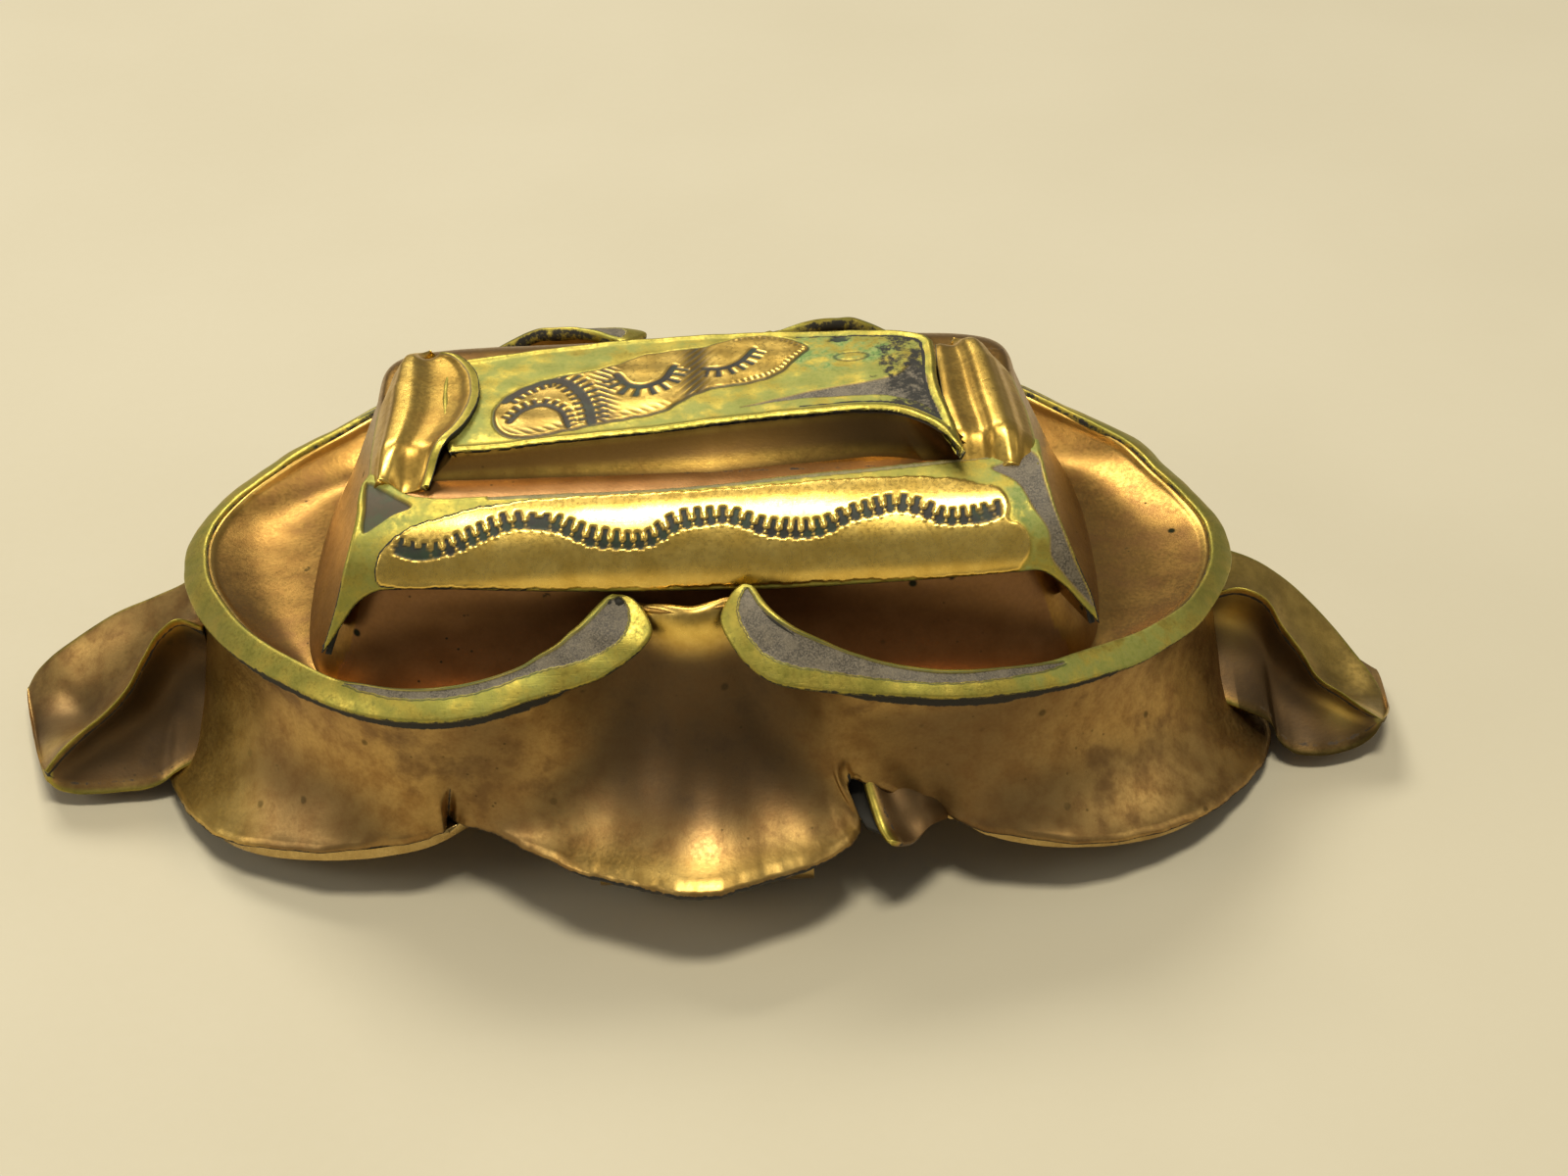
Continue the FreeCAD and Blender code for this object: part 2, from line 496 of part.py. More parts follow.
# posts that carry the two ears down from the pad
posts = []
for tag, s0 in (("a", -D["ear_out"]), ("b", D["ear_in"])):
    q0, q1 = P0 + ax * s0, P0 + ax * (s0 + D["ear_out"] - D["ear_in"])
    poly = [V(P0.x + 0.05, q0.y, q0.z), V(P0.x + 0.05, q1.y, q1.z), V(P0.x + 0.05, q1.y, 2.4), V(P0.x + 0.05, q0.y, 2.4)]
    posts.append(feat("post_" + tag, Part.Face(Part.makePolygon(poly + [poly[0]])).extrude(V(0.55, 0, 0))))
pad = boxed("hinge_pad", "Dims.pin_x - 0.45", "Dims.pin_x + 2.0", "Dims.pin_y - 1.7", "Dims.pin_y + 1.7", "1.9", "2.6")
bore = ax_rod("ear_bore", "Dims.rivet_rad", -4, 4)
barrel_room = ax_rod("barrel_room", "Dims.barrel_rad + 0.12", -D["barrel_half"] - 0.06, D["barrel_half"] + 0.06)
hb = cut("hb_low", fuse("hb", ears, pad, *posts), above_plate)
hb2 = cut("hb_room", hb, barrel_room)
node(cut("pin_hinge_base_cut", hb2, bore), "pin_hinge_base")
node(ax_rod("pin_hinge_rivet_rod", "Dims.rivet_rad", -D["ear_out"] - 0.0, D["ear_out"] + 0.0), "pin_hinge_rivet")
barrel = ax_rod("barrel", "Dims.barrel_rad", -D["barrel_half"], D["barrel_half"])
barrel_bore = ax_rod("barrel_bore", "Dims.rivet_rad + Dims.rivet_play", -4, 4)
node(cut("pin_knuckle_cut", barrel, barrel_bore), "pin_knuckle")

# Stem: straight round wire, then a neck through the catch and a sharp point.
back_x = Rotation(V(0, 1, 0), -90)
stem = rod("stem_rod", "Dims.stem_rad", "Dims.stem_from - Dims.stem_to", V(0, D["pin_y"], D["pin_z"]), back_x)
stem.setExpression("Placement.Base.x", "Dims.stem_from")
neck = doc.addObject("Part::Cone", "neck_cone")
bind(neck, Radius1="Dims.stem_rad", Radius2="Dims.neck_rad", Height="Dims.stem_to - Dims.neck_to")
neck.Placement = Placement(V(0, D["pin_y"], D["pin_z"]), back_x)
neck.setExpression("Placement.Base.x", "Dims.stem_to")
tip = doc.addObject("Part::Cone", "tip_cone")
bind(tip, Radius1="Dims.neck_rad", Radius2="0.04", Height="Dims.neck_to - Dims.point_to")
tip.Placement = Placement(V(0, D["pin_y"], D["pin_z"]), back_x)
tip.setExpression("Placement.Base.x", "Dims.neck_to")
node(cut("pin_stem_cut", fuse("stem_set", stem, neck, tip), barrel), "pin_stem")

# Catch: a bent strip of C section whose mouth faces the way the pin swings out.
d = V(0, -math.sin(tilt), -math.cos(tilt))
a_d = math.atan2(d.z, d.y)
half = math.radians(D["catch_mouth"])
cc = (D["pin_y"], D["pin_z"])


def polar(r, a):
    return V(cc[0] + r * math.cos(a), cc[1] + r * math.sin(a), 0)


a0, a1 = a_d + half, a_d - half + 2 * math.pi
am = 0.5 * (a0 + a1)
ro, ri = D["catch_out"], D["catch_in"]
g = [Part.Arc(polar(ro, a0), polar(ro, am), polar(ro, a1)), Part.LineSegment(polar(ro, a1), polar(ri, a1)),
     Part.Arc(polar(ri, a1), polar(ri, am), polar(ri, a0)), Part.LineSegment(polar(ri, a0), polar(ro, a0))]
c_body = pad_body("c_catch", "YZ_Plane", g, "Dims.catch_wide", "Dims.catch_x - Dims.catch_wide / 2")
catch_pad = boxed("catch_pad", "Dims.catch_x - 1.5", "Dims.catch_x + 1.5", "Dims.pin_y - 1.5", "Dims.pin_y + 1.5",
                  "1.85", "2.5")
catch_low = cut("catch_low", catch_pad, above_plate)
node(cut("catch_base_cut", catch_low, c_body), "catch_base")
node(c_body, "c_catch")

doc.recompute()
bad = [o.Name for o in doc.Objects if "Invalid" in o.State or "Error" in o.State]
if bad:
    for o in doc.Objects:
        if o.Name in bad:
            print(o.Name, o.getStatusString())
    raise SystemExit("objects that failed: %s" % bad)
for label, o in NODES:
    s = o.Shape
    if s.isNull() or not s.isValid() or not s.Solids or s.Volume <= 0:
        raise SystemExit("bad shape: %s" % label)
os.makedirs("parts", exist_ok=True)
for label, o in NODES:
    s = o.Shape
    b = s.BoundBox
    print("%-22s vol %8.3f solids %d  x %.2f %.2f  y %.2f %.2f  z %.2f %.2f" % (
        label, s.Volume, len(s.Solids), b.XMin, b.XMax, b.YMin, b.YMax, b.ZMin, b.ZMax))
    s.exportStep("parts/%s.step" % label)
print(len(NODES), "nodes")
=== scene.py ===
import math
import bpy
import numpy as np
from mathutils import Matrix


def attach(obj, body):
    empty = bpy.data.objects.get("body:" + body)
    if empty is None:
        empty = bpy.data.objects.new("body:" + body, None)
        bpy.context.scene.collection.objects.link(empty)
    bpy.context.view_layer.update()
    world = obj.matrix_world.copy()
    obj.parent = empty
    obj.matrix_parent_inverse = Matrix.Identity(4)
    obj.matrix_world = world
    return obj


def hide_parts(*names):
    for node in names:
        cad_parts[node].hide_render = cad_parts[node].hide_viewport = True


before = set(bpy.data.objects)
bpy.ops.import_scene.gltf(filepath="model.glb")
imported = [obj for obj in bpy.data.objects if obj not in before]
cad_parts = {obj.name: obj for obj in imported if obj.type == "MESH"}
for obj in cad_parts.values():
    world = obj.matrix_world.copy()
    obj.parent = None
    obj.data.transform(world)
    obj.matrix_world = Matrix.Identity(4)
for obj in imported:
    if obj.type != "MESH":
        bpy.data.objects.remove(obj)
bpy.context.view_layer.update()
MM = 0.001

# ---------------------------------------------------------------- outlines, in mm, in the part's own frame
L_IN = [(-2.62, -7.08, 11.43), (-2.78, -7.00, 11.33), (-2.98, -7.04, 11.22), (-3.34, -7.32, 11.00), (-3.76, -7.68, 10.74), (-4.15, -7.90, 10.51), (-4.55, -8.16, 10.28), (-5.19, -8.35, 9.97), (-5.85, -8.62, 9.72), (-7.15, -8.84, 9.41), (-8.45, -8.85, 9.20), (-9.76, -8.60, 9.01), (-11.02, -8.00, 8.80), (-12.06, -7.40, 8.62), (-13.28, -6.16, 8.37), (-14.48, -4.82, 8.11), (-15.57, -3.35, 7.86), (-16.43, -1.77, 7.64), (-17.16, -0.05, 7.45), (-17.54, 1.56, 7.35), (-17.61, 2.75, 7.33), (-17.32, 3.96, 7.41), (-16.58, 5.16, 7.61), (-15.37, 6.34, 7.91), (-14.55, 7.04, 8.10)]
L_OUT = [(-2.62, -7.08, 11.43), (-2.05, -7.09, 11.25), (-1.62, -7.44, 10.90), (-1.42, -7.93, 10.50), (-1.77, -8.40, 10.15), (-2.42, -8.71, 9.75), (-3.30, -9.04, 9.40), (-4.59, -9.24, 9.07), (-5.53, -9.47, 8.96), (-7.04, -9.77, 8.62), (-8.45, -9.76, 8.44), (-9.99, -9.42, 8.30), (-11.51, -8.65, 8.12), (-12.75, -7.72, 7.98), (-13.98, -6.44, 7.74), (-15.17, -5.15, 7.47), (-16.37, -3.48, 7.17), (-17.42, -1.48, 6.78), (-18.18, 0.47, 6.75), (-18.43, 1.87, 6.65), (-18.46, 3.07, 6.70), (-18.05, 4.24, 6.90), (-17.13, 5.77, 7.20), (-15.86, 6.96, 7.52), (-15.00, 7.63, 7.73)]
R_IN = [(1.89, -7.43, 11.77), (1.99, -7.49, 11.73), (2.14, -7.79, 11.67), (2.35, -8.14, 11.56), (2.63, -8.44, 11.42), (3.00, -8.65, 11.21), (3.41, -8.76, 10.96), (4.12, -8.75, 10.52), (4.88, -8.80, 10.11), (6.18, -8.84, 9.62), (7.58, -8.89, 9.33), (8.72, -8.78, 9.16), (9.86, -8.52, 8.99), (11.41, -7.96, 8.73), (12.56, -7.19, 8.52), (13.79, -6.33, 8.27), (14.87, -5.46, 8.02), (16.15, -4.07, 7.72), (16.94, -2.86, 7.51), (17.59, -1.32, 7.34), (17.96, 0.28, 7.23), (17.92, 2.02, 7.25), (17.28, 3.48, 7.42), (16.52, 4.68, 7.62), (15.61, 6.19, 7.85)]
R_OUT = [(1.89, -7.43, 11.77), (1.51, -7.25, 11.70), (1.09, -7.59, 11.45), (0.81, -8.09, 11.00), (1.08, -8.79, 10.60), (1.71, -9.53, 10.10), (2.62, -10.04, 9.75), (4.09, -10.06, 9.42), (5.33, -9.90, 9.12), (6.44, -9.72, 8.85), (8.00, -9.62, 8.62), (9.26, -9.42, 8.46), (10.57, -8.99, 8.28), (12.14, -8.35, 8.04), (13.36, -7.55, 7.78), (14.60, -6.69, 7.52), (15.66, -5.66, 7.34), (16.93, -4.11, 7.06), (17.79, -2.46, 6.85), (18.46, -0.72, 6.70), (18.74, 0.63, 6.70), (18.55, 2.43, 6.85), (17.75, 4.07, 7.04), (16.97, 5.62, 7.10), (16.02, 7.16, 7.32)]
STRIP_PROFILE = [(-1.60, 13.80), (-2.40, 13.90), (-3.20, 13.97), (-4.00, 14.00), (-4.60, 13.94), (-5.30, 13.70), (-5.95, 13.25), (-6.45, 12.65), (-6.75, 12.00), (-6.87, 11.35), (-6.95, 10.60), (-7.10, 9.90), (-7.30, 9.30), (-7.50, 8.80)]
STRIP_OUT = [(-10.64, -1.11), (-10.82, -0.59), (-10.99, 1.11), (-11.33, 2.40), (-11.86, 4.19), (-12.40, 5.65), (-11.94, 5.09), (-11.50, 4.43), (-10.98, 3.74), (-10.38, 3.37), (-9.54, 3.33), (-8.27, 3.37), (-4.76, 3.58), (-0.29, 3.71), (2.91, 3.76), (6.11, 3.66), (8.67, 3.54), (10.50, 3.43), (11.30, 3.42), (12.01, 3.96), (12.66, 4.75), (13.24, 5.43), (12.98, 4.37), (12.57, 3.33), (12.14, 2.22), (11.85, 1.41), (11.62, 0.11), (11.53, -1.93), (11.23, -2.16), (10.85, -1.50), (10.37, -1.14), (9.87, -0.98), (7.88, -0.74), (4.64, -0.38), (-0.19, 0.10), (-3.39, 0.21), (-6.60, 0.24), (-8.52, 0.24), (-9.33, 0.04), (-9.91, -0.48), (-10.31, -0.96)]
STRIP_PANEL = [(-10.32, 2.56), (-10.21, 2.21), (-9.98, 1.90), (-9.40, 1.47), (-8.28, 1.07), (-6.91, 0.73), (-5.73, 0.56), (-3.39, 0.42), (-0.19, 0.35), (1.74, 0.27), (3.66, 0.14), (5.46, 0.05), (7.80, 0.11), (9.20, 0.38), (10.22, 0.87), (10.33, 1.29), (10.25, 1.65), (10.72, 1.92), (10.96, 2.31), (10.92, 2.76), (10.62, 3.25), (9.31, 3.42), (6.12, 3.48), (2.92, 3.54), (-0.28, 3.53), (-4.75, 3.43), (-8.26, 3.27), (-9.85, 3.21), (-10.25, 3.06)]
COMB = [(-9.72, 1.98), (-8.90, 2.16), (-8.04, 2.13), (-7.26, 1.80), (-6.56, 1.57), (-5.72, 1.33), (-4.86, 1.33), (-4.17, 1.58), (-3.50, 1.86), (-2.74, 2.05), (-2.04, 2.10), (-1.27, 1.94), (-0.59, 1.61), (0.27, 1.41), (1.14, 1.37), (1.67, 1.52), (2.59, 1.81), (3.51, 1.94), (4.28, 1.80), (5.02, 1.50), (5.80, 1.30), (6.54, 1.15), (7.30, 1.28), (8.21, 1.61), (9.13, 1.64), (10.10, 1.35)]
STRIP_TRI = [(11.12, -1.29), (10.45, -0.59), (9.85, -0.26), (10.61, 0.40), (11.12, 1.38), (11.57, 2.14), (11.62, 2.92), (12.00, 3.52), (12.69, 4.43), (13.04, 4.83), (12.78, 3.99), (12.38, 3.04), (12.08, 2.22), (11.76, 1.30), (11.54, 0.39), (11.40, -0.77)]
STRIP_SHADED_RECESS = [(-10.60, -0.58), (-10.69, 0.59), (-10.67, 1.46), (-10.29, 1.24), (-9.78, 0.88), (-9.15, 0.57), (-9.68, 0.15), (-10.22, -0.29)]
STRIP_TOPLINE = [(-6.60, 0.32), (-3.39, 0.30), (-0.19, 0.18), (4.64, -0.25), (7.87, -0.60), (9.86, -0.86)]
PLATE_OUT = [(-8.31, 2.04), (-7.25, 2.30), (-6.24, 2.44), (-4.90, 2.66), (-2.88, 2.88), (-0.17, 2.95), (1.85, 2.90), (4.21, 2.75), (5.89, 2.62), (7.39, 2.32), (8.04, 1.92), (8.25, 1.51), (8.29, 0.50), (8.26, -0.61), (8.34, -1.60), (8.51, -2.52), (8.76, -3.68), (8.98, -4.69), (8.59, -4.36), (7.84, -3.40), (7.04, -2.71), (5.83, -2.40), (3.75, -2.46), (1.70, -2.59), (-0.15, -2.80), (-2.09, -3.00), (-4.67, -3.18), (-6.44, -3.34), (-7.25, -3.37), (-7.96, -3.41), (-8.24, -2.14), (-8.40, -0.62), (-8.43, 0.80)]
PLATE_WEDGE = [(7.45, 0.10), (6.99, -0.47), (6.32, -0.70), (5.10, -0.93), (4.21, -1.10), (2.79, -1.46), (1.68, -1.84), (2.53, -1.67), (5.04, -1.53), (6.70, -1.72), (7.49, -2.11), (8.23, -2.85), (8.07, -2.23), (7.95, -1.55), (7.84, -0.44)]
PLATE_MED = [(-6.26, -0.49), (-5.44, 0.27), (-4.32, 0.70), (-3.56, 0.80), (-2.44, 1.24), (-1.68, 1.72), (-0.67, 1.92), (0.43, 2.04), (1.71, 2.53), (2.76, 2.47), (3.59, 2.06), (3.98, 1.63), (3.56, 0.92), (2.98, 0.12), (1.69, -0.48), (0.70, -0.67), (-0.15, -1.18), (-0.80, -1.77), (-1.94, -2.13), (-3.24, -2.34), (-4.21, -2.59), (-5.17, -2.83), (-5.99, -2.74), (-6.51, -2.09), (-6.53, -1.13)]
LASH_A = [(-6.25, -0.68), (-5.43, 0.15), (-4.48, 0.41), (-3.86, -0.21), (-3.43, -1.24), (-3.28, -2.22)]
LASH_B = [(-2.49, 0.49), (-2.01, -0.24), (-1.64, -0.37), (-1.02, -0.11), (-0.56, 0.83)]
LASH_C = [(0.44, 0.59), (1.03, 0.53), (1.70, 0.95), (2.14, 1.65)]
LASH_D = [(-6.03, -1.91), (-5.57, -1.24), (-5.02, -1.00), (-4.41, -1.37), (-4.05, -2.37)]
MED_BLOT = [(5.07, 2.08), (5.46, 0.83)]
MED_VERD = [(3.96, 2.14), (5.39, 1.72), (6.67, 1.19), (5.54, 0.44), (3.66, 0.66)]
TONGUE = [(-10.43, 1.96), (-9.28, 2.21), (-8.27, 2.21), (-7.59, 1.66), (-7.15, 0.33), (-7.14, -1.08), (-7.58, -2.43), (-8.26, -3.44), (-8.64, -4.46)]
RIBL = [(-10.18, 1.26), (-10.34, -2.50), (-8.80, 1.17), (-9.31, -2.32)]
RSTR = [(8.36, 2.76), (9.06, -3.55), (9.01, 2.33), (10.15, -3.20), (10.96, 1.89), (11.35, -0.81), (11.51, -2.81), (10.20, -0.25)]


# ---------------------------------------------------------------- curves and grids


def spl(P, m, closed=False, par=None):
    """m points along a smooth curve through the points P"""
    P = np.asarray(P, float)
    Q = np.vstack([P, P[:1]]) if closed else P
    h = np.maximum(np.linalg.norm(np.diff(Q, axis=0), axis=1), 1e-6)
    t = np.r_[0, np.cumsum(h)]
    d = np.diff(Q, axis=0) / h[:, None]
    if closed:
        dm = np.vstack([d[-1:], d])
        dp = np.vstack([d, d[:1]])
        hm = np.r_[h[-1], h]
        hp = np.r_[h, h[0]]
        T = (dm * hp[:, None] + dp * hm[:, None]) / (hm + hp)[:, None]
    else:
        T = np.empty_like(Q)
        T[1:-1] = (d[:-1] * h[1:, None] + d[1:] * h[:-1, None]) / (h[1:] + h[:-1])[:, None]
        T[0] = d[0]
        T[-1] = d[-1]
    s = np.linspace(0, t[-1], m) if par is None else np.asarray(par) * t[-1]
    i = np.clip(np.searchsorted(t, s, side="right") - 1, 0, len(h) - 1)
    x = ((s - t[i]) / h[i])[:, None]
    H = h[i][:, None]
    return (2 * x**3 - 3 * x**2 + 1) * Q[i] + (x**3 - 2 * x**2 + x) * H * T[i] + (-2 * x**3 + 3 * x**2) * Q[i + 1] + (x**3 - x**2) * H * T[i + 1]


def rail(P, k):
    """the curve through the points P at the fractional index k, so rails with matched points stay matched"""
    P = np.asarray(P, float)
    n = len(P)
    T = np.empty_like(P)
    T[1:-1] = (P[2:] - P[:-2]) / 2
    T[0] = P[1] - P[0]
    T[-1] = P[-1] - P[-2]
    i = np.clip(np.floor(k).astype(int), 0, n - 2)
    x = (k - i)[:, None]
    return (2 * x**3 - 3 * x**2 + 1) * P[i] + (x**3 - 2 * x**2 + x) * T[i] + (-2 * x**3 + 3 * x**2) * P[i + 1] + (x**3 - x**2) * T[i + 1]


def sm(a, b, x):
    t = np.clip((np.asarray(x, float) - a) / (b - a), 0, 1)
    return t * t * (3 - 2 * t)


def inside(px, py, poly):
    poly = np.asarray(poly, float)
    r = np.zeros(np.shape(px), bool)
    for (x0, y0), (x1, y1) in zip(poly, np.roll(poly, -1, axis=0)):
        if y0 == y1:
            continue
        c = ((py >= y0) != (py >= y1)) & (px < (x1 - x0) * (py - y0) / (y1 - y0) + x0)
        r ^= c
    return r


def near(px, py, line, closed=False):
    """distance to a polyline, the nearest point on it, and how far along it that is"""
    line = np.asarray(line, float)
    nxt = np.roll(line, -1, axis=0) if closed else line[1:]
    best = np.full(np.shape(px), 1e9)
    bx = np.zeros(np.shape(px))
    by = np.zeros(np.shape(px))
    al = np.zeros(np.shape(px))
    acc = 0.0
    for (x0, y0), (x1, y1) in zip(line, nxt):
        dx, dy = x1 - x0, y1 - y0
        L2 = dx * dx + dy * dy + 1e-12
        t = np.clip(((px - x0) * dx + (py - y0) * dy) / L2, 0, 1)
        cx = x0 + t * dx
        cy = y0 + t * dy
        d = np.hypot(px - cx, py - cy)
        m = d < best
        best = np.where(m, d, best)
        bx = np.where(m, cx, bx)
        by = np.where(m, cy, by)
        al = np.where(m, acc + t * math.sqrt(L2), al)
        acc += math.sqrt(L2)
    return best, bx, by, al


def sdist(px, py, poly):
    """signed distance to a closed outline, negative inside"""
    d, bx, by, al = near(px, py, poly, True)
    return np.where(inside(px, py, poly), -d, d), bx, by


def smooth_poly(P, m):
    return spl(P, m, closed=True)


def lump(x, y, z, seed=0.0):
    """smooth, seeded unevenness of about one, for hand-worked and dented sheet"""
    s = seed
    return (np.sin(x * 0.61 + y * 0.37 + s * 1.7) * np.sin(y * 0.53 - z * 0.41 + s * 2.3) + 0.6 * np.sin(x * 1.31 - y * 0.83 + z * 0.9 + s) * np.sin(z * 1.1 + x * 0.47 + s * 3.1)
            + 0.35 * np.sin(x * 2.3 + y * 2.9 + s * 0.7) * np.sin(y * 2.1 - x * 1.7 + z * 1.9))


class Piece:
    """collects grids into one mesh, with float attributes for the material's masks"""

    def __init__(self, name):
        self.name = name
        self.v = []
        self.f = []
        self.a = {}
        self.n = 0

    def grid(self, G, masks=None, cu=False, cv=False, flip=False, keep=None, caps=""):
        G = np.asarray(G, float)
        nu, nv = G.shape[:2]
        base = self.n
        idx = base + np.arange(nu * nv).reshape(nu, nv)
        iu = np.r_[np.arange(nu), 0] if cu else np.arange(nu)
        iv = np.r_[np.arange(nv), 0] if cv else np.arange(nv)
        A = idx[np.ix_(iu[:-1], iv[:-1])]
        B = idx[np.ix_(iu[1:], iv[:-1])]
        C = idx[np.ix_(iu[1:], iv[1:])]
        D = idx[np.ix_(iu[:-1], iv[1:])]
        F = np.stack([A, B, C, D], -1).reshape(-1, 4)
        if keep is not None:
            F = F[np.asarray(keep).reshape(-1)]
        if flip:
            F = F[:, ::-1]
        self.v.append(G.reshape(-1, 3))
        self.f.extend(F.tolist())
        for c in caps:
            ring = idx[0] if c == "0" else idx[-1]
            ring = ring.tolist()
            if (c == "0") != flip:
                ring = ring[::-1]
            self.f.append(ring[::-1])
        m = masks or {}
        for k in set(self.a) | set(m):
            self.a.setdefault(k, [np.zeros(self.n)] if self.n else [])
            self.a[k].append(np.broadcast_to(np.asarray(m.get(k, 0.0), float), (nu, nv)).reshape(-1))
        self.n += nu * nv
        return self

    def make(self, mat, body, replaces=(), solidify=0.0, offset=-1.0, smooth=True, merge=False):
        v = np.vstack(self.v)
        used = np.zeros(len(v), bool)
        flat = np.fromiter((i for f in self.f for i in f), int)
        used[flat] = True
        remap = np.cumsum(used) - 1
        me = bpy.data.meshes.new(self.name)
        me.from_pydata((v[used] * MM).tolist(), [], [[int(remap[i]) for i in f] for f in self.f])
        for k, parts in self.a.items():
            at = me.attributes.new(k, "FLOAT", "POINT")
            at.data.foreach_set("value", np.concatenate(parts)[used].astype(np.float32))
        me.validate()
        me.update()
        me.shade_smooth() if smooth else me.shade_flat()
        ob = bpy.data.objects.new(self.name, me)
        bpy.context.scene.collection.objects.link(ob)
        if merge:
            import bmesh
            bm = bmesh.new()
            bm.from_mesh(me)
            bmesh.ops.remove_doubles(bm, verts=bm.verts, dist=1e-6)
            bmesh.ops.recalc_face_normals(bm, faces=bm.faces)
            bm.to_mesh(me)
            bm.free()
        if solidify:
            md = ob.modifiers.new("thickness", "SOLIDIFY")
            md.thickness = solidify * MM
            md.offset = offset
            md.use_even_offset = False
        me.materials.append(mat)
        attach(ob, body)
        if replaces:
            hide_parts(*replaces)
        return ob


def norms(G, cu=False, cv=False):
    """unit normals of a grid"""
    du = np.gradient(G, axis=0)
    dv = np.gradient(G, axis=1)
    if cu:
        du = (np.roll(G, -1, 0) - np.roll(G, 1, 0)) / 2
    if cv:
        dv = (np.roll(G, -1, 1) - np.roll(G, 1, 1)) / 2
    n = np.cross(du, dv)
    return n / np.maximum(np.linalg.norm(n, axis=2, keepdims=True), 1e-9)


# ---------------------------------------------------------------- camera
AZ, EL, ROLL, DIST = 0.0, math.radians(35.92), math.radians(-1.90), 114.2
back = np.array([math.sin(AZ) * math.cos(EL), -math.cos(AZ) * math.cos(EL), math.sin(EL)])
right = np.array([math.cos(AZ), math.sin(AZ), 0.0])
up = np.cross(back, right)
Rv = right * math.cos(ROLL) + up * math.sin(ROLL)
Uv = -right * math.sin(ROLL) + up * math.cos(ROLL)
Cv = (np.array([0, 0, 7.0]) + right * 2.91 - up * 0.56 + back * DIST) * MM
cam = bpy.data.cameras.new("camera")
cam.sensor_width = 36.0
cam.lens = 36.0 * 3316.0 / 1600.0
cam.clip_start = 0.005
cam.clip_end = 10.0
camo = bpy.data.objects.new("camera", cam)
bpy.context.scene.collection.objects.link(camo)
from mathutils import Matrix, Vector
Mx = Matrix.Identity(4)
for r in range(3):
    Mx[r][0], Mx[r][1], Mx[r][2], Mx[r][3] = Rv[r], Uv[r], back[r], Cv[r]
camo.matrix_world = Mx
bpy.context.scene.camera = camo

# ---------------------------------------------------------------- light and floor
bpy.context.scene.view_settings.view_transform = "Standard"
world = bpy.data.worlds.new("world")
bpy.context.scene.world = world
world.use_nodes = True
world.node_tree.nodes["Background"].inputs[0].default_value = (0.95, 0.93, 0.86, 1)
world.node_tree.nodes["Background"].inputs[1].default_value = 0.22


def area(name, loc, size, power, col=(1, 0.95, 0.86), look=(0, 0, 8), size_y=None):
    li = bpy.data.lights.new(name, "AREA")
    li.shape = "RECTANGLE"
    li.size = size * MM
    li.size_y = (size_y or size) * MM
    li.energy = power
    li.color = col
    o = bpy.data.objects.new(name, li)
    bpy.context.scene.collection.objects.link(o)
    o.location = Vector(loc) * MM
    d = (Vector(look) - Vector(loc))
    o.rotation_euler = d.to_track_quat("-Z", "Y").to_euler()
    return o


area("key", (-80, 150, 230), 130, 0.50, (1.0, 0.95, 0.82), size_y=90)
area("top", (15, -75, 290), 80, 0.62, (1.0, 0.93, 0.76), size_y=50)

area("left", (-210, -60, 120), 110, 0.12, (1.0, 0.94, 0.80), size_y=90)
area("right", (210, -30, 110), 90, 0.04, (1.0, 0.93, 0.76), size_y=90)

floor_p = Piece("floor")
gx = np.linspace(-600, 600, 60)
FX, FY = np.meshgrid(gx, gx, indexing="ij")
floor_p.grid(np.stack([FX, FY, np.full_like(FX, -0.02)], -1))


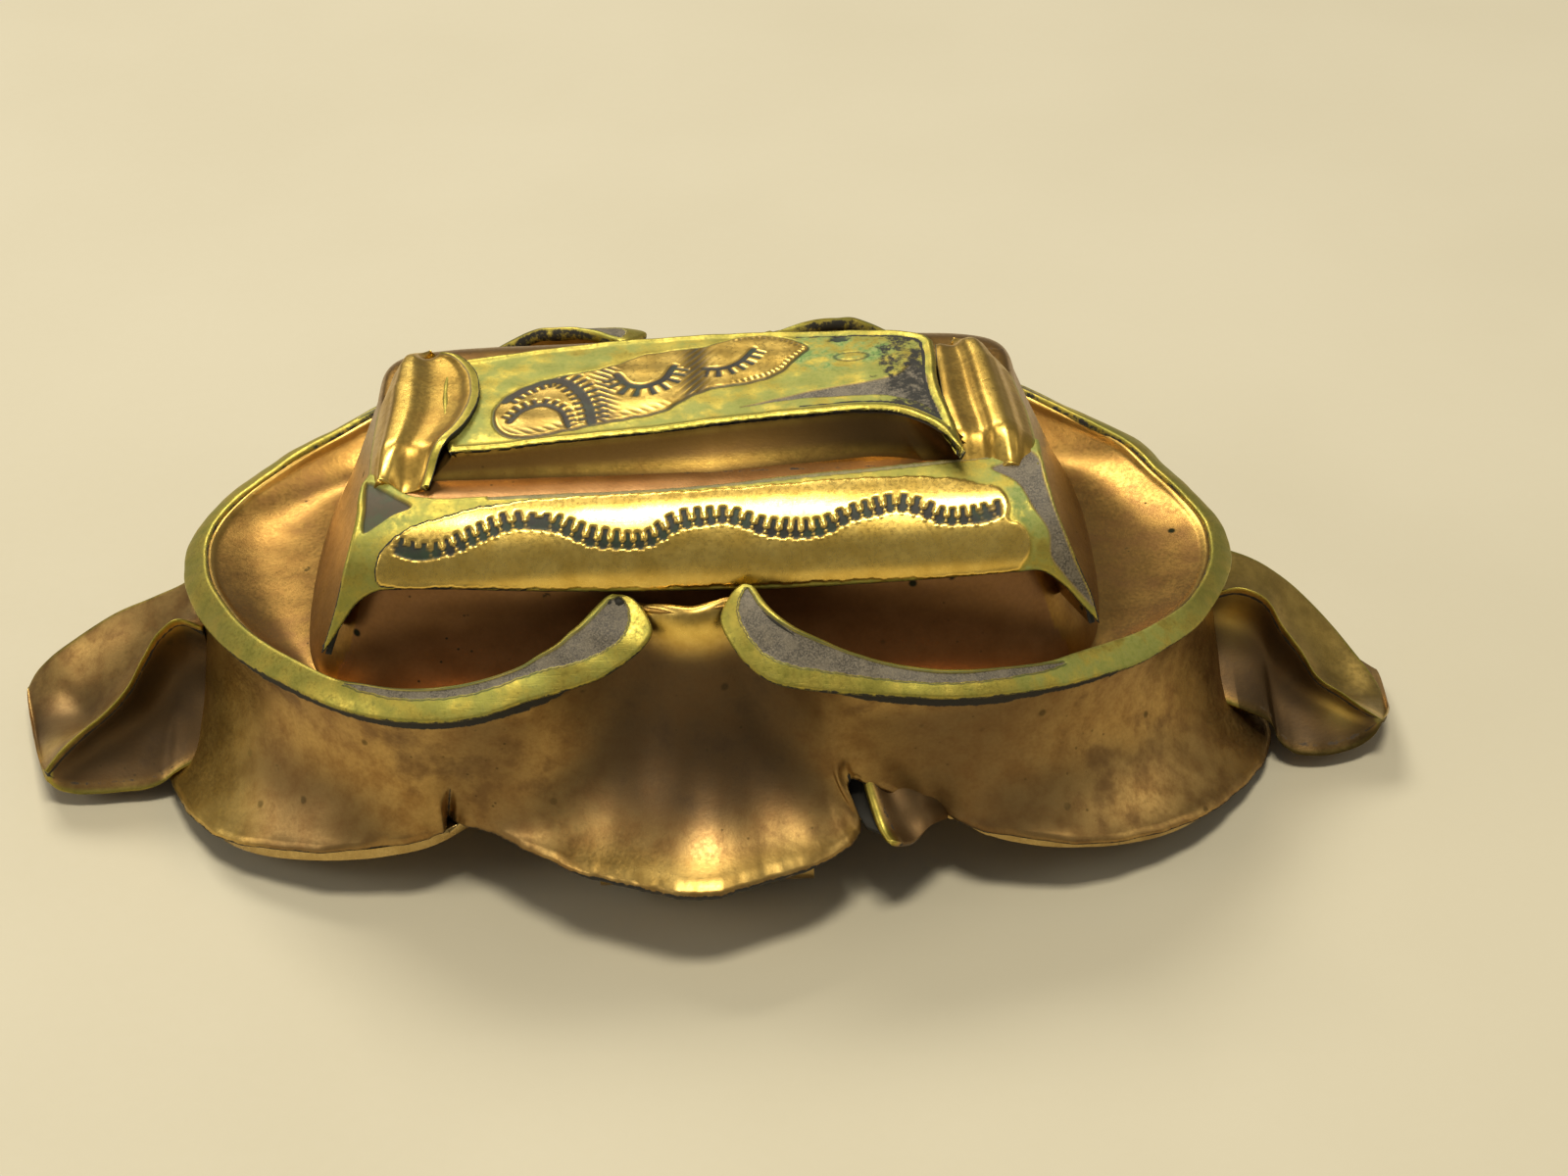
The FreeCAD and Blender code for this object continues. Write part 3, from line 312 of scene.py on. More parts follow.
# ---------------------------------------------------------------- materials
class Mat:
    def __init__(self, name):
        self.m = bpy.data.materials.new(name)
        self.m.use_nodes = True
        self.t = self.m.node_tree
        self.t.nodes.clear()
        self.out = self.t.nodes.new("ShaderNodeOutputMaterial")
        self.b = self.t.nodes.new("ShaderNodeBsdfPrincipled")
        self.t.links.new(self.b.outputs[0], self.out.inputs[0])
        tc = self.t.nodes.new("ShaderNodeTexCoord")
        mp = self.t.nodes.new("ShaderNodeMapping")
        mp.inputs["Scale"].default_value = (1000, 1000, 1000)
        self.t.links.new(tc.outputs["Object"], mp.inputs[0])
        self.co = mp.outputs[0]

    def put(self, sock, v):
        if isinstance(v, bpy.types.NodeSocket):
            self.t.links.new(v, sock)
        else:
            sock.default_value = v if not isinstance(v, tuple) or len(v) == 4 or sock.type == "VECTOR" else (*v, 1)

    def noise(self, scale, detail=4, rough=0.55, dist=0.0, stretch=None, off=0.0):
        n = self.t.nodes.new("ShaderNodeTexNoise")
        co = self.co
        if stretch or off:
            mp = self.t.nodes.new("ShaderNodeMapping")
            mp.inputs["Scale"].default_value = stretch or (1, 1, 1)
            mp.inputs["Location"].default_value = (off, off * 0.7, off * 1.3)
            self.t.links.new(self.co, mp.inputs[0])
            co = mp.outputs[0]
        self.t.links.new(co, n.inputs["Vector"])
        n.inputs["Scale"].default_value = scale
        n.inputs["Detail"].default_value = detail
        n.inputs["Roughness"].default_value = rough
        n.inputs["Distortion"].default_value = dist
        return n.outputs["Fac"]

    def voro(self, scale, feature="F1", off=0.0):
        n = self.t.nodes.new("ShaderNodeTexVoronoi")
        n.feature = feature
        mp = self.t.nodes.new("ShaderNodeMapping")
        mp.inputs["Location"].default_value = (off, off * 0.7, off * 1.3)
        self.t.links.new(self.co, mp.inputs[0])
        self.t.links.new(mp.outputs[0], n.inputs["Vector"])
        n.inputs["Scale"].default_value = scale
        return n.outputs["Distance"]

    def attr(self, name):
        n = self.t.nodes.new("ShaderNodeAttribute")
        n.attribute_name = name
        return n.outputs["Fac"]

    def math(self, op, a, b=0.0, clamp=False):
        n = self.t.nodes.new("ShaderNodeMath")
        n.operation = op
        n.use_clamp = clamp
        self.put(n.inputs[0], a)
        self.put(n.inputs[1], b)
        return n.outputs[0]

    def rng(self, x, a, b, c=0.0, d=1.0):
        n = self.t.nodes.new("ShaderNodeMapRange")
        n.interpolation_type = "SMOOTHSTEP"
        self.put(n.inputs["Value"], x)
        n.inputs["From Min"].default_value = a
        n.inputs["From Max"].default_value = b
        n.inputs["To Min"].default_value = c
        n.inputs["To Max"].default_value = d
        return n.outputs["Result"]

    def mix(self, f, a, b, mode="MIX"):
        n = self.t.nodes.new("ShaderNodeMix")
        n.data_type = "RGBA"
        n.blend_type = mode
        self.put(n.inputs[0], f)
        self.put(n.inputs[6], a)
        self.put(n.inputs[7], b)
        return n.outputs[2]

    def mixf(self, f, a, b):
        n = self.t.nodes.new("ShaderNodeMix")
        n.data_type = "FLOAT"
        self.put(n.inputs[0], f)
        self.put(n.inputs[2], a)
        self.put(n.inputs[3], b)
        return n.outputs[0]

    def bump(self, h, strength=0.3, dist=0.02, normal=None):
        n = self.t.nodes.new("ShaderNodeBump")
        n.inputs["Strength"].default_value = strength
        n.inputs["Distance"].default_value = dist * MM
        self.t.links.new(h, n.inputs["Height"])
        if normal is not None:
            self.t.links.new(normal, n.inputs["Normal"])
        return n.outputs[0]


def metal(name, col, col2, rough=0.34, patina=(0.16, 0.065, 0.022), patina_amt=0.35, masks=True, spots=0.5, scratch=0.6, metallic=1.0, film=0.75):
    """worn gold-filled sheet: two gold tones, red-brown patina, dark specks and fine scratches; the masks bring in the
    brass border, enamel, ink lines, verdigris, dirt mixed with painted shade, painted shade, and painted highlights
    through the gold mask
    """
    m = Mat(name)
    big = m.noise(0.22, 3, 0.5)
    mid = m.noise(1.1, 6, 0.6, off=5.0)
    fine = m.noise(7.0, 5, 0.65, off=11.0)
    c = m.mix(m.rng(mid, 0.35, 0.68), col, col2)
    # patina, thicker where the piece says so and in its own soft clouds
    cloud = m.rng(m.math("ADD", m.math("MULTIPLY", big, 0.65), m.math("MULTIPLY", mid, 0.35)), 0.46, 0.66, 0.0, patina_amt)
    pat = cloud
    if masks:
        warm = m.attr("m_warm")
        pat = m.math("MAXIMUM", cloud, m.math("MULTIPLY", warm, m.rng(mid, 0.2, 0.75, 1.0, 0.72)))
    c = m.mix(pat, c, (*patina, 1))
    # fine grain
    c = m.mix(m.rng(fine, 0.35, 0.7, 0.0, 0.16), c, (0.10, 0.045, 0.016, 1))
    r = m.rng(fine, 0.3, 0.75, rough - 0.05, rough + 0.10)
    r = m.mixf(pat, r, rough + 0.08)
    scr = m.noise(1.0, 3, 0.6, stretch=(0.7, 14.0, 14.0), off=3.0)
    scr2 = m.noise(1.0, 3, 0.6, stretch=(13.0, 1.1, 5.0), off=8.0)
    h = m.math("ADD", m.math("MULTIPLY", m.rng(scr, 0.56, 0.64), -0.5 * scratch), m.math("MULTIPLY", m.rng(scr2, 0.6, 0.68), -0.35 * scratch))
    h = m.math("ADD", h, m.math("MULTIPLY", fine, 0.9))
    h = m.math("ADD", h, m.math("MULTIPLY", mid, 1.2))
    metl = None
    if spots:
        v = m.voro(0.62, off=2.0)
        sp = m.math("MULTIPLY", m.rng(v, 0.115, 0.05), m.rng(mid, 0.40, 0.47))
        v2 = m.voro(1.9, off=7.0)
        sp2 = m.math("MULTIPLY", m.rng(v2, 0.13, 0.05), m.rng(big, 0.5, 0.62))
        sp = m.math("MULTIPLY", m.math("MAXIMUM", sp, sp2), spots)
        c = m.mix(sp, c, (0.018, 0.02, 0.008, 1))
        r = m.mixf(sp, r, 0.7)
    if masks:
        bord = m.attr("m_bord")
        yb = m.mix(m.rng(mid, 0.35, 0.65), (0.47, 0.375, 0.075, 1), (0.32, 0.275, 0.050, 1))
        yb = m.mix(m.rng(fine, 0.5, 0.75, 0.0, 0.5), yb, (0.10, 0.11, 0.035, 1))
        c = m.mix(bord, c, yb)
        r = m.mixf(bord, r, m.rng(fine, 0.3, 0.7, 0.36, 0.55))
        # gold mask: the real gold panels and medallion, and also painted highlights on lips, ridges, ribs and facets
        gold = m.attr("m_gold")
        gc = m.mix(m.rng(mid, 0.3, 0.7), (0.90, 0.63, 0.16, 1), (0.70, 0.46, 0.095, 1))
        c = m.mix(gold, c, gc)
        r = m.mixf(gold, r, m.rng(fine, 0.3, 0.7, 0.25, 0.34))
        ver = m.math("MULTIPLY", m.attr("m_verd"), m.rng(mid, 0.38, 0.56))
        c = m.mix(ver, c, m.mix(m.rng(fine, 0.35, 0.65), (0.10, 0.20, 0.045, 1), (0.28, 0.34, 0.10, 1)))
        r = m.mixf(ver, r, 0.75)
        en = m.attr("m_enam")
        g = m.noise(16.0, 4, 0.7, off=1.0)
        ec = m.mix(m.rng(g, 0.38, 0.66), (0.045, 0.036, 0.024, 1), (0.19, 0.16, 0.115, 1))
        ec = m.mix(m.rng(m.noise(1.6, 4, 0.6, off=20.0), 0.42, 0.62, 0.0, 0.45), ec, (0.20, 0.165, 0.11, 1))
        c = m.mix(en, c, ec)
        r = m.mixf(en, r, m.rng(g, 0.3, 0.7, 0.5, 0.72))
        ink = m.attr("m_line")
        ic = m.mix(m.rng(mid, 0.4, 0.62), (0.010, 0.009, 0.006, 1), (0.014, 0.032, 0.012, 1))
        c = m.mix(ink, c, ic)
        r = m.mixf(ink, r, 0.6)
        # ragged dark edges, dirt together with painted shade in creases and under overhangs: the mask is a height that
        # the noise has to beat
        d = m.attr("m_dirt")
        rag = m.noise(2.6, 6, 0.7, off=15.0)
        dirt_and_shade = m.rng(m.math("SUBTRACT", m.math("MULTIPLY", d, 1.25), rag), 0.05, 0.22)
        c = m.mix(dirt_and_shade, c, (0.012, 0.010, 0.006, 1))
        r = m.mixf(dirt_and_shade, r, 0.72)
        # painted shade, with darker stains in a few places: a flat dark brown mixed in
        shade_and_stain = m.attr("m_soft")
        c = m.mix(shade_and_stain, c, (0.05, 0.030, 0.012, 1))
        nonm = m.math("MAXIMUM", m.math("MAXIMUM", en, ink), m.math("MAXIMUM", dirt_and_shade, ver), True)
        metl = m.mixf(nonm, m.mixf(pat, metallic, film), 0.0)
        h = m.math("ADD", h, m.math("MULTIPLY", m.math("MULTIPLY", en, g), 3.0))
    m.put(m.b.inputs["Base Color"], c)
    m.put(m.b.inputs["Roughness"], r)
    if metl is not None:
        m.put(m.b.inputs["Metallic"], metl)
    else:
        m.b.inputs["Metallic"].default_value = metallic
    m.put(m.b.inputs["Normal"], m.bump(h, 0.35, 0.012))
    return m.m


GILT = metal("gilt_sheet", (0.60, 0.38, 0.080, 1), (0.47, 0.28, 0.055, 1), scratch=0.15)
FLANK = metal("gilt_flank", (0.50, 0.315, 0.105, 1), (0.34, 0.19, 0.060, 1), rough=0.37, patina=(0.075, 0.042, 0.022), patina_amt=0.5, scratch=0.12)
FIELD = metal("gilt_field", (0.36, 0.205, 0.052, 1), (0.27, 0.145, 0.036, 1), rough=0.34, patina=(0.22, 0.095, 0.042), patina_amt=0.3, spots=1.0, scratch=0.08, film=0.55)
BRASS = metal("brass_rim", (0.50, 0.38, 0.11, 1), (0.42, 0.33, 0.09, 1), rough=0.42, patina_amt=0.1, spots=0.2)
BACK = metal("back_brass", (0.62, 0.44, 0.17, 1), (0.50, 0.34, 0.12, 1), rough=0.3, patina_amt=0.3, masks=False)
STEEL = metal("pin_metal", (0.60, 0.50, 0.32, 1), (0.48, 0.40, 0.24, 1), rough=0.28, patina=(0.12, 0.09, 0.05), patina_amt=0.25, masks=False, spots=0.2)

card = Mat("card")
cn = card.noise(3.0, 6, 0.7)
cf = card.noise(14.0, 4, 0.7, off=3.0)
cc = card.mix(card.rng(cn, 0.35, 0.7), (0.62, 0.52, 0.36, 1), (0.50, 0.40, 0.25, 1))
card.put(card.b.inputs["Base Color"], card.mix(card.rng(cf, 0.4, 0.7, 0.0, 0.3), cc, (0.36, 0.27, 0.15, 1)))
card.put(card.b.inputs["Roughness"], card.rng(cf, 0.3, 0.7, 0.75, 0.9))
card.put(card.b.inputs["Normal"], card.bump(cf, 0.3, 0.02))

glass = Mat("glass")
gn = glass.noise(1.5, 4, 0.6)
glass.put(glass.b.inputs["Base Color"], glass.mix(glass.rng(gn, 0.3, 0.7), (0.98, 0.99, 0.97, 1), (0.93, 0.96, 0.93, 1)))
glass.put(glass.b.inputs["Roughness"], glass.rng(gn, 0.3, 0.7, 0.02, 0.07))
glass.b.inputs["Transmission Weight"].default_value = 1.0
glass.b.inputs["IOR"].default_value = 1.5

fl = Mat("floor_paper")
fn = fl.noise(0.05, 3, 0.5)
fl.put(fl.b.inputs["Base Color"], fl.mix(fl.rng(fn, 0.3, 0.7), (0.53, 0.485, 0.37, 1), (0.51, 0.465, 0.35, 1)))
fl.put(fl.b.inputs["Roughness"], fl.rng(fl.noise(2.0, 4, 0.6), 0.3, 0.7, 0.8, 0.9))

me = bpy.data.meshes.new("floor")
v = np.vstack(floor_p.v) * MM
me.from_pydata(v.tolist(), [], floor_p.f)
me.materials.append(fl.m)
floor = bpy.data.objects.new("floor", me)
bpy.context.scene.collection.objects.link(floor)

# ---------------------------------------------------------------- scroll rims
REAR_L = [(-13.2, 8.0, 8.38), (-12.0, 8.7, 8.7), (-10.9, 9.1, 9.0), (-9.7, 9.35, 9.4), (-8.4, 9.4, 10.1), (-7.1, 9.2, 11.0), (-5.9, 8.9, 11.8), (-5.2, 8.6, 12.05), (-4.55, 8.35, 12.2), (-4.1, 8.1, 12.25), (-3.7, 7.9, 12.25), (-3.3, 7.7, 12.2), (-3.0, 7.55, 12.15), (-2.7, 7.45, 12.05)]


def rim_lines(I, O, rear):
    I = [tuple(p) for p in I]
    O = [tuple(p) for p in O]
    n = len(I)
    for j, p in enumerate(rear):
        back_j = len(rear) - 1 - j
        if back_j < 7:
            q = np.array(O[back_j]) - np.array(I[back_j])
            q = np.array([q[0], -q[1], q[2]])
            O.append(tuple(np.array(p) + q))
        else:
            a = np.array(rear[max(j - 1, 0)])
            b = np.array(rear[min(j + 1, len(rear) - 1)])
            t = (b - a)[:2]
            nn = np.array([-t[1], t[0]]) / np.linalg.norm(t)
            if nn @ np.array(p[:2]) < 0:
                nn = -nn
            O.append((p[0] + nn[0] * 0.78, p[1] + nn[1] * 0.78, p[2] - 0.55))
        I.append(tuple(p))
    return np.array(I), np.array(O)


LI, LO = rim_lines(L_IN, L_OUT, REAR_L)
RI, RO = rim_lines(R_IN, R_OUT, [(-x, y, z) for x, y, z in REAR_L])

EN_L = np.array([(0.9, 0.45, 0.45), (1.5, 0.25, 0.50), (2, 0.14, 0.56), (3, 0.11, 0.60), (4, 0.09, 0.66), (5, 0.08, 0.62), (6, 0.08, 0.52), (7, 0.08, 0.38), (8, 0.08, 0.31), (9, 0.08, 0.33), (10, 0.09, 0.34), (11, 0.07, 0.33), (12, 0.05, 0.25), (12.7, 0.1, 0.1)])
EN_R = np.array([(1.1, 0.45, 0.45), (1.6, 0.3, 0.52), (2, 0.2, 0.57), (3, 0.13, 0.58), (4, 0.10, 0.63), (5, 0.08, 0.66), (6, 0.07, 0.63), (7, 0.09, 0.62), (8, 0.09, 0.60), (9, 0.11, 0.54), (10, 0.14, 0.50), (11, 0.14, 0.46), (12, 0.07, 0.42), (13, 0.10, 0.32), (13.5, 0.2, 0.2)])


def scroll(name, I, O, EN, replaces):
    n = len(I)
    k = np.linspace(0.3, n - 1, 1100)
    a = rail(I, k)
    b = rail(O, k)
    w = np.linalg.norm(b - a, axis=1)
    t = np.gradient(a, axis=0) + np.gradient(b, axis=0)
    t /= np.linalg.norm(t, axis=1, keepdims=True)
    ac = b - a
    ac /= np.maximum(w, 1e-6)[:, None]
    ac -= t * (ac * t).sum(1, keepdims=True)
    ac /= np.maximum(np.linalg.norm(ac, axis=1, keepdims=True), 1e-6)
    nn = np.cross(ac, t)
    nn /= np.maximum(np.linalg.norm(nn, axis=1, keepdims=True), 1e-6)
    nn = np.where(nn[:, 2:3] < 0, -nn, nn)
    i0 = int(np.searchsorted(k, 1.6))
    nn[:i0] = nn[i0]
    nt = 56
    c = np.linspace(0, 1, nt)
    W = w[:, None]
    d_in = c[None, :] * W
    d_out = (1 - c[None, :]) * W
    e = np.minimum(d_in, d_out)
    rise = 0.07 * np.sqrt(np.clip(e / 0.13, 0, 1) * (2 - np.clip(e / 0.13, 0, 1))) + 0.05 * np.clip(4 * c[None, :] * (1 - c[None, :]), 0, 1) * np.clip(W, 0, 1.6)
    kk = k[:, None]
    c0 = np.interp(k, EN[:, 0], EN[:, 1], left=0.5, right=0.5)[:, None]
    c1 = np.interp(k, EN[:, 0], EN[:, 2], left=0.5, right=0.5)[:, None]
    kr = (n - 1) - kk
    c0r = np.interp(kr[:, 0], EN[:, 0], EN[:, 1], left=0.5, right=0.5)[:, None]
    c1r = np.interp(kr[:, 0], EN[:, 0], EN[:, 2], left=0.5, right=0.5)[:, None]
    use_r = kr < kk
    c0 = np.where(use_r, c0r, c0)
    c1 = np.where(use_r, c1r, c1)
    wob = 0.012 * np.sin(kk * 9.1) + 0.010 * np.sin(kk * 23.7 + 1.0)
    sd = np.minimum((c[None, :] - c0) * W, (c1 - c[None, :]) * W + wob)
    has = (c1 - c0) * W > 0.05
    enam = sm(-0.005, 0.03, sd) * has
    ring = sm(-0.075, -0.045, sd) * (1 - sm(-0.03, 0.0, sd)) * has
    h = rise - 0.055 * sm(-0.02, 0.05, sd) * has
    top = a[:, None, :] + (b - a)[:, None, :] * c[None, :, None] + nn[:, None, :] * h[..., None]
    dents = 0.02 * lump(top[..., 0] * 1.5, top[..., 1] * 1.5, top[..., 2], 4.0)
    top = top + nn[:, None, :] * dents[..., None]
    # walls and underside
    wall = []
    for f, g in ((1.0, 0.05), (1.0, 0.13), (0.97, 0.24), (0.88, 0.36), (0.5, 0.42), (0.14, 0.40), (0.04, 0.30), (0.0, 0.18), (0.0, 0.08)):
        wall.append(a + (b - a) * f - nn * g)
    wall = np.stack(wall, 1)
    G = np.concatenate([top, wall], 1)
    nw = wall.shape[1]
    z = np.zeros((len(k), nw))

    def pad(m):
        return np.concatenate([np.broadcast_to(m, (len(k), nt)), z], 1)
    # painted shade on the walls and underside; thin dark bands along both edges of the top
    outer_d = np.concatenate([np.clip(1 - d_out / 0.20, 0, 1) * 0.55, np.broadcast_to(np.array([0.5, 0.72, 0.9, 0.92, 0.92]), (len(k), 5)), np.full((len(k), 4), 0.55)], 1)
    inner_d = pad(np.clip(1 - d_in / 0.12, 0, 1) * 0.42)
    vg = np.clip(np.interp(k, (0, 11.5, 12.5, 16, 18, 30), (0.08, 0.08, 0.45, 0.4, 0.08, 0.15)), 0, 1)[:, None] if name.startswith("right") else np.interp(k, (0, 7, 9, 12, 20, 30), (0.08, 0.22, 0.25, 0.12, 0.08, 0.15))[:, None]
    masks = {
        "m_bord": np.ones(G.shape[:2]),
        "m_enam": pad(enam),
        "m_line": pad(ring * 0.85),
        "m_dirt": np.maximum(outer_d, inner_d) * sm(0.35, 1.0, W),
        "m_verd": pad(vg * (1 - enam) * np.ones((len(k), nt))),
        "m_warm": np.zeros(G.shape[:2]),
    }
    p = Piece(name)
    p.grid(G, masks, cv=True, caps="01")
    return p.make(BRASS, "case", replaces), (a, b, nn, w, k)


left_rim, LR = scroll("left_scroll_rim_v", LI, LO, EN_L, ["left_scroll_rim", "scroll_enamel"])
right_rim, RR = scroll("right_scroll_rim_v", RI, RO, EN_R, ["right_scroll_rim"])

# ---------------------------------------------------------------- flank: the stamped side wall, all round
FL = [((-0.1, -7.75, 11.32), (-0.1, -12.42, 3.6), 0.0), ((-0.9, -7.55, 11.27), (-1.1, -12.38, 3.6), 0.0), ((-1.6, -7.25, 11.05), (-2.3, -12.2, 3.56), 0.05), ((-2.3, -7.4, 10.6), (-3.4, -11.8, 3.5), 0.2), ((-2.9, -7.9, 10.0), (-4.4, -11.36, 3.45), 0.45),
      ((-3.7, -8.45, 9.5), (-5.2, -10.7, 3.4), 0.7), ((-4.6, -8.95, 9.0), (-5.95, -10.1, 3.35), 0.75), ((-5.6, -9.25, 8.9), (-6.7, -9.5, 3.3), 0.8), ((-6.6, -9.45, 8.6), (-7.5, -8.85, 3.2), 0.7), ((-7.5, -9.5, 8.45), (-8.15, -8.4, 3.1), 0.6),
      ((-8.1, -9.5, 8.4), (-8.6, -8.15, 3.05), 0.55), ((-8.8, -9.45, 8.35), (-9.0, -8.7, 3.0), 0.7), ((-9.6, -9.3, 8.25), (-9.8, -9.07, 2.9), 0.85), ((-10.9, -8.75, 8.1), (-11.3, -9.06, 2.7), 1.0), ((-12.3, -7.8, 7.95), (-12.9, -8.74, 2.4), 1.1),
      ((-13.6, -6.6, 7.7), (-14.6, -8.1, 2.05), 1.15), ((-14.8, -5.35, 7.45), (-16.1, -7.3, 1.7), 1.15), ((-15.9, -3.9, 7.2), (-17.4, -6.1, 1.4), 1.1), ((-16.9, -2.2, 6.9), (-18.5, -4.4, 1.1), 1.0), ((-17.6, -0.6, 6.65), (-19.3, -2.4, 0.9), 0.9),
      ((-18.1, 1.0, 6.5), (-19.8, -0.4, 0.8), 0.8), ((-18.2, 2.3, 6.5), (-20.1, 1.4, 0.75), 0.8), ((-17.9, 3.9, 6.6), (-20.0, 3.3, 0.75), 0.9)]
RQ = [((-17.1, 5.3, 6.9), (-19.4, 5.2, 0.85), 1.0), ((-15.9, 6.7, 7.2), (-18.2, 7.0, 1.15), 1.1), ((-14.6, 7.8, 7.5), (-16.5, 8.4, 1.6), 1.15), ((-13.1, 8.8, 7.85), (-14.6, 9.4, 2.05), 1.2), ((-11.5, 9.6, 8.25), (-12.6, 9.85, 2.45), 1.1), ((-9.8, 9.95, 8.7), (-10.6, 9.7, 2.8), 0.9),
      ((-8.4, 10.0, 9.2), (-8.9, 9.1, 3.0), 0.7), ((-7.3, 9.8, 9.8), (-8.0, 8.5, 3.1), 0.6), ((-6.2, 9.5, 10.4), (-7.0, 9.3, 3.25), 0.8), ((-5.2, 9.05, 10.8), (-5.9, 10.2, 3.35), 1.0), ((-4.2, 8.5, 11.1), (-4.7, 11.0, 3.45), 1.3), ((-3.3, 7.9, 11.3), (-3.5, 11.7, 3.5), 1.6),
      ((-2.3, 7.5, 11.4), (-2.2, 12.2, 3.56), 1.9), ((-1.1, 7.3, 11.5), (-1.1, 12.4, 3.6), 2.1)]
FR = [((0.6, -7.65, 11.42), (0.8, -12.38, 3.6), 0.0), ((1.2, -7.5, 11.42), (2.0, -12.1, 3.56), 0.05), ((1.8, -7.85, 11.1), (3.1, -11.75, 3.52), 0.2), ((2.5, -8.5, 10.6), (4.0, -11.3, 3.46), 0.45), ((3.2, -9.0, 10.1), (4.75, -10.6, 3.4), 0.7),
      ((3.9, -9.4, 9.8), (5.2, -9.7, 3.55), 1.0), ((4.5, -9.6, 9.45), (4.95, -9.15, 4.95), 0.8), ((5.2, -9.65, 9.2), (5.55, -9.0, 4.75), 0.6), ((6.0, -9.6, 8.95), (6.5, -8.75, 4.1), 0.6), ((6.9, -9.5, 8.75), (7.4, -8.4, 3.4), 0.6), ((7.8, -9.4, 8.55), (8.1, -8.6, 3.1), 0.7),
      ((8.9, -9.25, 8.4), (9.2, -9.4, 2.95), 0.9), ((10.1, -8.95, 8.25), (10.7, -9.7, 2.8), 1.1), ((11.5, -8.35, 8.1), (12.4, -9.65, 2.5), 1.25), ((12.9, -7.55, 7.8), (14.1, -9.2, 2.15), 1.3), ((14.2, -6.6, 7.55), (15.8, -8.35, 1.8), 1.3),
      ((15.3, -5.6, 7.3), (17.2, -7.2, 1.5), 1.25), ((16.4, -4.3, 7.1), (18.4, -5.8, 1.15), 1.15), ((17.3, -2.7, 6.85), (19.4, -4.2, 0.9), 1.0), ((18.0, -1.2, 6.65), (20.1, -2.4, 0.75), 0.9), ((18.35, 0.4, 6.55), (20.3, -0.4, 0.7), 0.8),
      ((18.3, 2.0, 6.6), (20.3, 1.4, 0.7), 0.8), ((17.8, 3.6, 6.8), (20.1, 3.3, 0.75), 0.9)]
MID = [((0.0, 7.3, 11.5), (0.0, 12.45, 3.6), 2.1)]


def mir(L):
    return [((-t[0], t[1], t[2]), (-b[0], b[1], b[2]), a) for t, b, a in L]


LOOP = FL + RQ + MID + mir(RQ)[::-1] + FR[::-1]
TT = np.array([t for t, b, a in LOOP], float)
BB = np.array([b for t, b, a in LOOP], float)
AA = np.array([[a * 0.5] for t, b, a in LOOP], float)


def crail(P, k):
    n = len(P)
    Q = np.vstack([P[-2:], P, P[:3]])
    return rail(Q, k + 2)


NL = len(LOOP)
nu, nv = 780, 60
k = np.arange(nu) / nu * NL
T = crail(TT, k)
B = crail(BB, k)
A = crail(AA, k)[:, 0]
tan = (np.roll(T, -1, 0) - np.roll(T, 1, 0)) + (np.roll(B, -1, 0) - np.roll(B, 1, 0))
hx = np.stack([tan[:, 1], -tan[:, 0]], 1)
hx /= np.linalg.norm(hx, axis=1, keepdims=True)
mid2 = (T + B)[:, :2] / 2
sgn = np.sign((hx * mid2).sum(1))
sgn = np.sign(np.median(sgn)) * np.ones_like(sgn)
hx *= sgn[:, None]
v = np.linspace(0, 1, nv) ** 1.0
V = v[None, :]
cw = np.exp(-(((T[:, 0] + 0.15) / 3.4) ** 4))[:, None]
pw = 1 + 1.5 * cw + 0.35 * (1 - cw)
Vp = (V**pw)[..., None]
xy = T[:, None, :2] * (1 - Vp) + B[:, None, :2] * Vp
inset = A[:, None] * np.sin(np.pi * V**0.86) ** 0.95
shw = (np.exp(-(((T[:, 0] + 0.12) / 1.5) ** 2)) * (T[:, 1] < 0))[:, None]
sh = 1 - (1 - np.clip(V / 0.13, 0, 1)) ** 2
inset = inset - 0.6 * shw * sh
zz = T[:, None, 2] + (B[:, None, 2] - T[:, None, 2]) * (1 - (1 - V) ** 1.32) + 0.62 * shw * np.sin(np.pi * np.clip(V / 0.22, 0, 1)) * (1 - np.clip(V / 0.22, 0, 1)) ** 0.5
kx = k[:, None]
# the crease at the left lobe and its ghost at the rear, and the drawn-in lines by the tear
fold = 0.26 * np.exp(-(((kx - 10.1) / 0.15) ** 2)) * sm(6.2, 4.4, zz) - 0.16 * np.exp(-(((kx - 10.75) / 0.30) ** 2)) * sm(7.2, 4.8, zz)
kt = NL - 1 - 6
fold = fold + 0.22 * np.exp(-(((kx - kt - 0.1) / 0.28) ** 2)) * sm(6.2, 4.8, zz) - 0.22 * np.exp(-(((kx - (NL - 1 - 9)) / 0.6) ** 2)) * sm(7.0, 4.6, zz)
inset = inset + fold
X = xy[..., 0] - hx[:, None, 0] * inset
Y = xy[..., 1] - hx[:, None, 1] * inset
G = np.stack([X, Y, zz], -1)
Gs = G.copy()
wt = np.exp(-(np.arange(-24, 25) / 7.3) ** 2 / 2)
wt /= wt.sum()
Gs = sum(wt[i] * np.roll(G, i - 24, 0) for i in range(49))
wsm = (sm(0.85, 0.5, V) * sm(0.0, 0.08, V))[..., None]
G = G * (1 - wsm) + Gs * wsm
